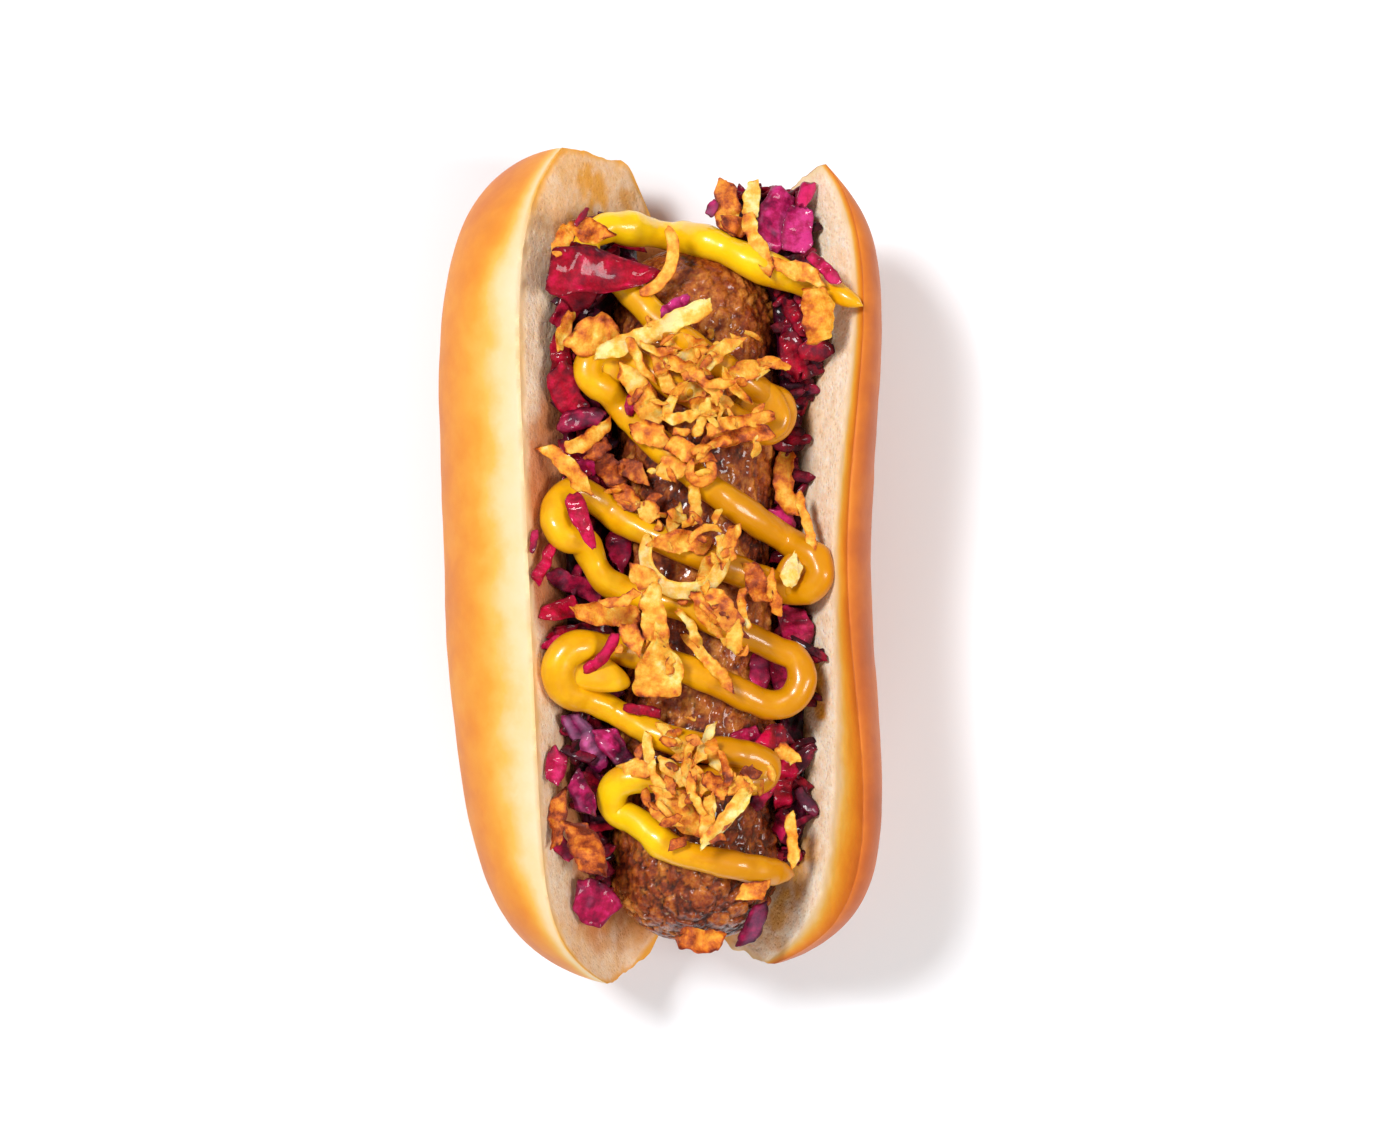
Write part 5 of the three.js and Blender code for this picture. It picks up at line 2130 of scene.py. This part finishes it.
# Rows of a shred's x, y, length, width, heading, bend, roll, taper, tone and hue, as in Shred.
CABBAGE_UNDER = [
    (-17.4, 37, 10, 4, 85, 10, 0, 0, 0.1),
    (-16, 30.5, 11, 6, -62, 20, 10, 0.2, 0),
    (-14, 26.2, 8.5, 4.2, 10, -20, 15, 0.2, -0.1, 0.3),
    (-12.8, 18.8, 6, 4, -55, 20, 10, 0, 0.2, 0.4),
    (-16.4, 45.5, 7, 4, 60),
    (-5, 58.4, 6, 2.2, -8, -30),
    (-20.2, 0.8, 9, 2.6, 66, 0, 20, 0.3),
    (-7.2, 3.6, 7.5, 4.8, 80, 0, 15, 0, -0.05, 0.2),
    (-14.5, -3.6, 10, 4, -25, 0, 10, 0.2, -0.1, 0.2),
    (-17.2, -8, 8, 5, 12, 0, 12, -0.4, 0.14),
    (-14, -12, 11, 3.5, 4, 10, 0, 0, -0.2),
    (-18.6, -14.2, 4, 3, 30, 0, 0, 0, 0.25, 0.2),
    (-12.8, -31.6, 12.5, 4.4, -58, 0, 15, 0, -0.1, 0.8),
    (-7.4, -33.2, 9, 5, -50, 10, 0, 0.3, -0.12, 0.5),
    (-18.2, -35.8, 5.4, 4, 80, 0, 0, 0, 0.1, 0.1),
    (-13.6, -40.6, 8, 4, -70, 0, 0, 0, -0.2, 0.4),
    (-17, -50.4, 5, 3, -60, 0, 0, 0, -0.05, 0.2),
    (24.6, 45, 7, 3.4, -62, 0, 20),
    (24.4, 38.4, 7.5, 4.6, -70, 0, 0, 0, -0.1),
    (28.4, 38.8, 6, 4.8, -15, 0, 10, 0.2, -0.1),
    (21.2, 62.2, 13.5, 6.4, 74, 10, 20, 0, 0.24, 0.6),
    (25.2, 60.6, 9, 5.4, 80, 0, 10, 0, 0.3, 0.6),
    (22.8, 8, 5.4, 4, -50, 0, 0, 0, 0.1, 0.4),
    (24.8, -11.4, 8.5, 6, -80, 0, 0, 0, -0.06, 0.2),
    (18.4, -18.4, 8, 3.8, 85, 0, 10, 0, -0.05, 0.3),
    (22.2, -20.4, 6, 3.6, -70, 0, 0, 0, 0.1, 0.3),
    (16.2, -31, 6.4, 5, 22, 0, 10, 0.4, 0.1, 0.3),
    (20.9, -30.4, 4.8, 4.6, 0),
    (22.8, -39.4, 9.5, 3.8, 82, 0, 10),
    (18.8, -41.4, 6, 2.8, 50),
    (22.2, -46.6, 5, 3, 80),
]
CABBAGE_OVER = [
    (-14.6, 51.8, 11, 9, 72, 0, 0, 0, -0.14, -0.3),
    (-9.6, 51.8, 21, 10.4, 0, 0, 0, 0.7, -0.1, -0.3),
    (3, 46.2, 6, 2.8, 38, 0, 0, 0.2, 0.16, 0.5),
    (26.6, 67, 5, 3.6, 66, 0, 15, -0.4, 0.22, 0.3),
    (29.4, 53, 8, 2.2, -46, -10, 15, 0, 0.1, 0.2),
    (-4.9, 28.8, 3.6, 2, 85),
    (-13.4, 7.8, 10.5, 4.6, -66, 0, 0, 0.6, 0.12, -0.2),
    (-9.6, -16, 9.5, 2.4, 48, 50, 15, 0, 0.2, 0),
    (-2.4, -25.8, 7, 2, -12, -15),
    (-11.4, -61, 8.4, 7.6, -30, 0, 0, 0, -0.08, 0.3),
    (17.4, -64.8, 8.6, 4, 68, 15, 15, 0.2, -0.32, 0.5),
]
CABBAGE_LAST = [
    (-13.4, 61.8, 4.6, 1.2, 58, 0, 0, 0, -0.3),
    (9.6, 64.2, 2.8, 1.8, 60, 0, 0, 0, -0.1, 0.6),
    (-22, 4.4, 4.4, 1.4, 80, 0, 0, 0, -0.25),
]
ONION_FLAKES = [
    (12.4, 65, 10, 5, 92, 0, 8, 0, 0.16),
    (16.8, 66, 7.5, 4, 84, 0, -10, 0, -0.16),
    (14, 61.2, 5, 3.4, -20, 0, 0, 0, 0.2),
    (17.8, 57.6, 12, 3, -68, 20, 12),
    (25.2, 52.4, 10, 3, -20, -10),
    (29, 44.6, 10, 5.4, -86, -40, 12, 0, 0.1),
    (-16.8, 57.6, 6.5, 3, 62, 20, 0, 0, 0.08),
    (-12.4, 59.4, 7, 4.2, -22, 0, 10, 0, 0.22),
    (2.2, 53.2, 15, 2.4, -112, -110, 10),
    (-10.4, 40.8, 9.4, 7.6, -8, 0, 4, 0, -0.04),
    (-16.8, 42.2, 8, 2.4, 70, -35, 15),
    (4.4, 39.6, 8, 3.2, -12, 0, 10),
    (6.2, 37.4, 7, 2.8, 10),
    (10.6, 37.6, 9.5, 3.2, 40, 0, 10),
    (15, 34, 9, 3.8, 38, -20, 8),
    (20.8, 36.4, 7, 2, -12, -60, 15),
    (-4, 32.2, 8, 4.2, -48, -10, 0, 0, -0.14),
    (-1.6, 28, 7.5, 4.2, -75),
    (5.2, 31, 6.4, 3.6, 0, 30),
    (9.4, 28.8, 8, 3, 8),
    (4.2, 26.4, 6.5, 2.6, 8, -20, 10),
    (14.2, 23, 13, 3.2, 8, 0, 0, 0, 0.32),
    (-1.2, 23.4, 6.4, 4.6, -10, 0, 0, 0, 0.1),
    (0.8, 34.6, 9, 3, -72, 10, 15),
    (6.8, 34.4, 13, 2.8, -32, -70, 15),
    (8, 26, 6.5, 2.2, 68, 0, 15),
    (14.4, 25.6, 13, 2.6, 14, -20, 12, 0, 0.1),
    (-1, 41.6, 22, 3.4, 24, 5, 18, 0, -0.26),
    (-12.2, 22.6, 11, 2.8, 32, 45, 10),
    (-16.2, 17.8, 13, 3.6, -45, -30, 10),
    (4.6, 20.6, 7.5, 3.6, -25, -20, 8),
    (2.4, 17.2, 6, 3.6, -20),
    (7.6, 14.8, 10.5, 2, 0, 300, 25, 0, 0.2),
    (6.4, 11, 8, 2.4, -86, 0, 10),
    (-1.6, 9.4, 4.6, 3.2, -50),
    (3, 8.4, 4.6, 2.8, 60),
    (22.8, 15.6, 13, 3.4, -88, 40, 10, 0, 0.1),
    (26.4, 8, 11, 2, -76, -10, 15),
    (4.6, 4.2, 10.5, 4.2, 2, -40, 0, 0, 0.06),
    (9.4, -0.6, 5.6, 3.8, 30),
    (5, -4.6, 28, 3.8, 2, 235, 40, 0, -0.36),
    (12.4, 3.6, 8, 2.8, 68, 0, 15),
    (-2.8, -1.8, 5, 3.8, -30),
    (-9.2, -8.6, 12.5, 4.4, -4, 0, 0, -0.3),
    (-4.4, -12.6, 5.4, 3.4, -60),
    (-0.6, -9, 12, 4.6, -82),
    (0.4, -18.4, 11, 9.4, 86, 0, 0, 0.45, -0.16),
    (8.6, -8.4, 9, 2.8, -62, 0, 12),
    (12.2, -8.4, 12, 4, -52, -25, 8, 0, 0.06),
    (13.8, -13.2, 5.6, 3.8, -75, 0, 5, 0.3, -0.14),
    (17.4, -3.2, 7.5, 4.4, -70, 0, 0, 0, 0.22),
    (20.6, -5, 8, 2.2, -80, 0, 10, 0, 0.16),
    (24, -1, 5.4, 3.8, 70, 0, 0, 0.4, -0.45),
    (9.2, -17.2, 13.5, 2.2, -47, 0, 15),
    (-1.4, -33.6, 8, 2.2, -84, 0, 15, 0, -0.3),
    (-3.6, -36, 5, 3.6, -20),
    (3, -36.8, 7, 3.2, -35),
    (2.8, -31.4, 8.5, 2.2, -56, 0, 15),
    (8.2, -31.8, 8, 2.2, 66, 0, 15, 0, -0.22),
    (9.8, -33.4, 6, 2.8, -80),
    (6.6, -37.4, 7.5, 2.6, -66, 0, 10),
    (10, -38.6, 4.8, 3, -50, 0, 0, 0, 0.28),
    (14, -39, 5.4, 3.2, 10),
    (3.4, -43.6, 9, 5.6, -58),
    (8.9, -44.4, 8, 3, 84),
    (11.8, -44.8, 13.5, 3.4, 50, 8, 10, -0.3, -0.2),
    (23.4, -34, 5, 3, -40, 0, 10),
    (24, -49, 9.5, 2.2, -84),
    (-17.8, -45, 8.5, 3.6, 88, 0, 15, 0, 0.36),
    (-12.8, -50.4, 11, 5.6, -62, 0, 12, 0, 0.38),
    (17.2, -58.2, 5.6, 3.4, 12, 0, 0, 0, 0.16),
    (-8.4, 16.6, 8.5, 4.4, -58, 10, 0, 0, 0.42),
    (-10.8, 21, 5, 3.2, 30, 0, 0, 0, 0.48),
    (-5.6, 12.4, 6, 3.4, -40, 0, 0, 0, 0.3),
    (-4.6, 17.4, 6, 3.6, -30, 0, 0, 0, 0.34),
    (16.6, -36.6, 3.4, 2.4, 10, 0, 0, 0, 0.42),
    (-3.5, 36.5, 9, 1.9, -60, 40, 15, 0, -0.1),
    (9, 32.5, 9, 1.9, -20, 80, 15, 0, -0.05),
    (2.5, 29.5, 8, 1.7, 60, -60, 15, 0, 0.05),
    (13.5, 31.5, 8, 1.8, -50, 50, 15),
    (0, 38, 7, 1.6, -10, 60, 10, 0, -0.1),
    (10, 21.5, 8, 1.7, 30, -60, 12, 0, 0.1),
    (1, -13.5, 9, 1.8, -75, 30, 15, 0, -0.1),
    (-6, -6, 8, 1.8, 20, 60, 12),
    (6, -11, 8, 1.8, -60, -40, 15, 0, -0.1),
    (15, -7.5, 8, 1.7, -85, 50, 15, 0, 0.05),
    (8, 6.5, 7, 1.6, 20, -85, 15),
    (0, -38, 8, 1.7, -60, 50, 15, 0, -0.1),
    (5, -34.5, 8, 1.7, 80, -50, 15),
    (6.5, -41, 8, 1.8, -70, 60, 15, 0, -0.15),
    (1, -45, 7, 1.6, -30, 70, 12),
    (12.5, -36, 7, 1.6, -80, -60, 15, 0, 0.1),
    (7.6, -67.4, 8.6, 4.6, -6, 15, 0, 0, 0.3),
]


def main() -> None:
    """Builds the studio and the hot dog, from the bread up."""
    logging.basicConfig(level=logging.INFO, format="%(name)s: %(message)s")
    Studio().build()
    bun, sausage = Bun(), Sausage()
    bun.build()
    sausage.build()
    left, right = np.array(LEFT_TOPS, float), np.array(RIGHT_TOPS, float)
    heaps = [
        Heap(Side.DOME, left, fall=7.0, past_sausage=-4.0, seed=4, bun=bun, sausage=sausage),
        Heap(Side.BASE, right, fall=1.5, past_sausage=11.0, seed=5, bun=bun, sausage=sausage),
    ]
    landing = Landing(bun, sausage, heaps)
    cabbage = Cabbage(heaps, shreds(CABBAGE_UNDER), shreds(CABBAGE_OVER), shreds(CABBAGE_LAST))
    mustard = Mustard(MUSTARD_ROUTE)
    onions = FriedOnions(shreds(ONION_FLAKES))
    cabbage.lay_under(landing)
    mustard.drape(landing)
    cabbage.lay_over(landing)
    onions.lay(landing)
    cabbage.lay_last(landing)
    cabbage.build()
    mustard.build()
    onions.build()


if __name__ == "__main__":
    main()
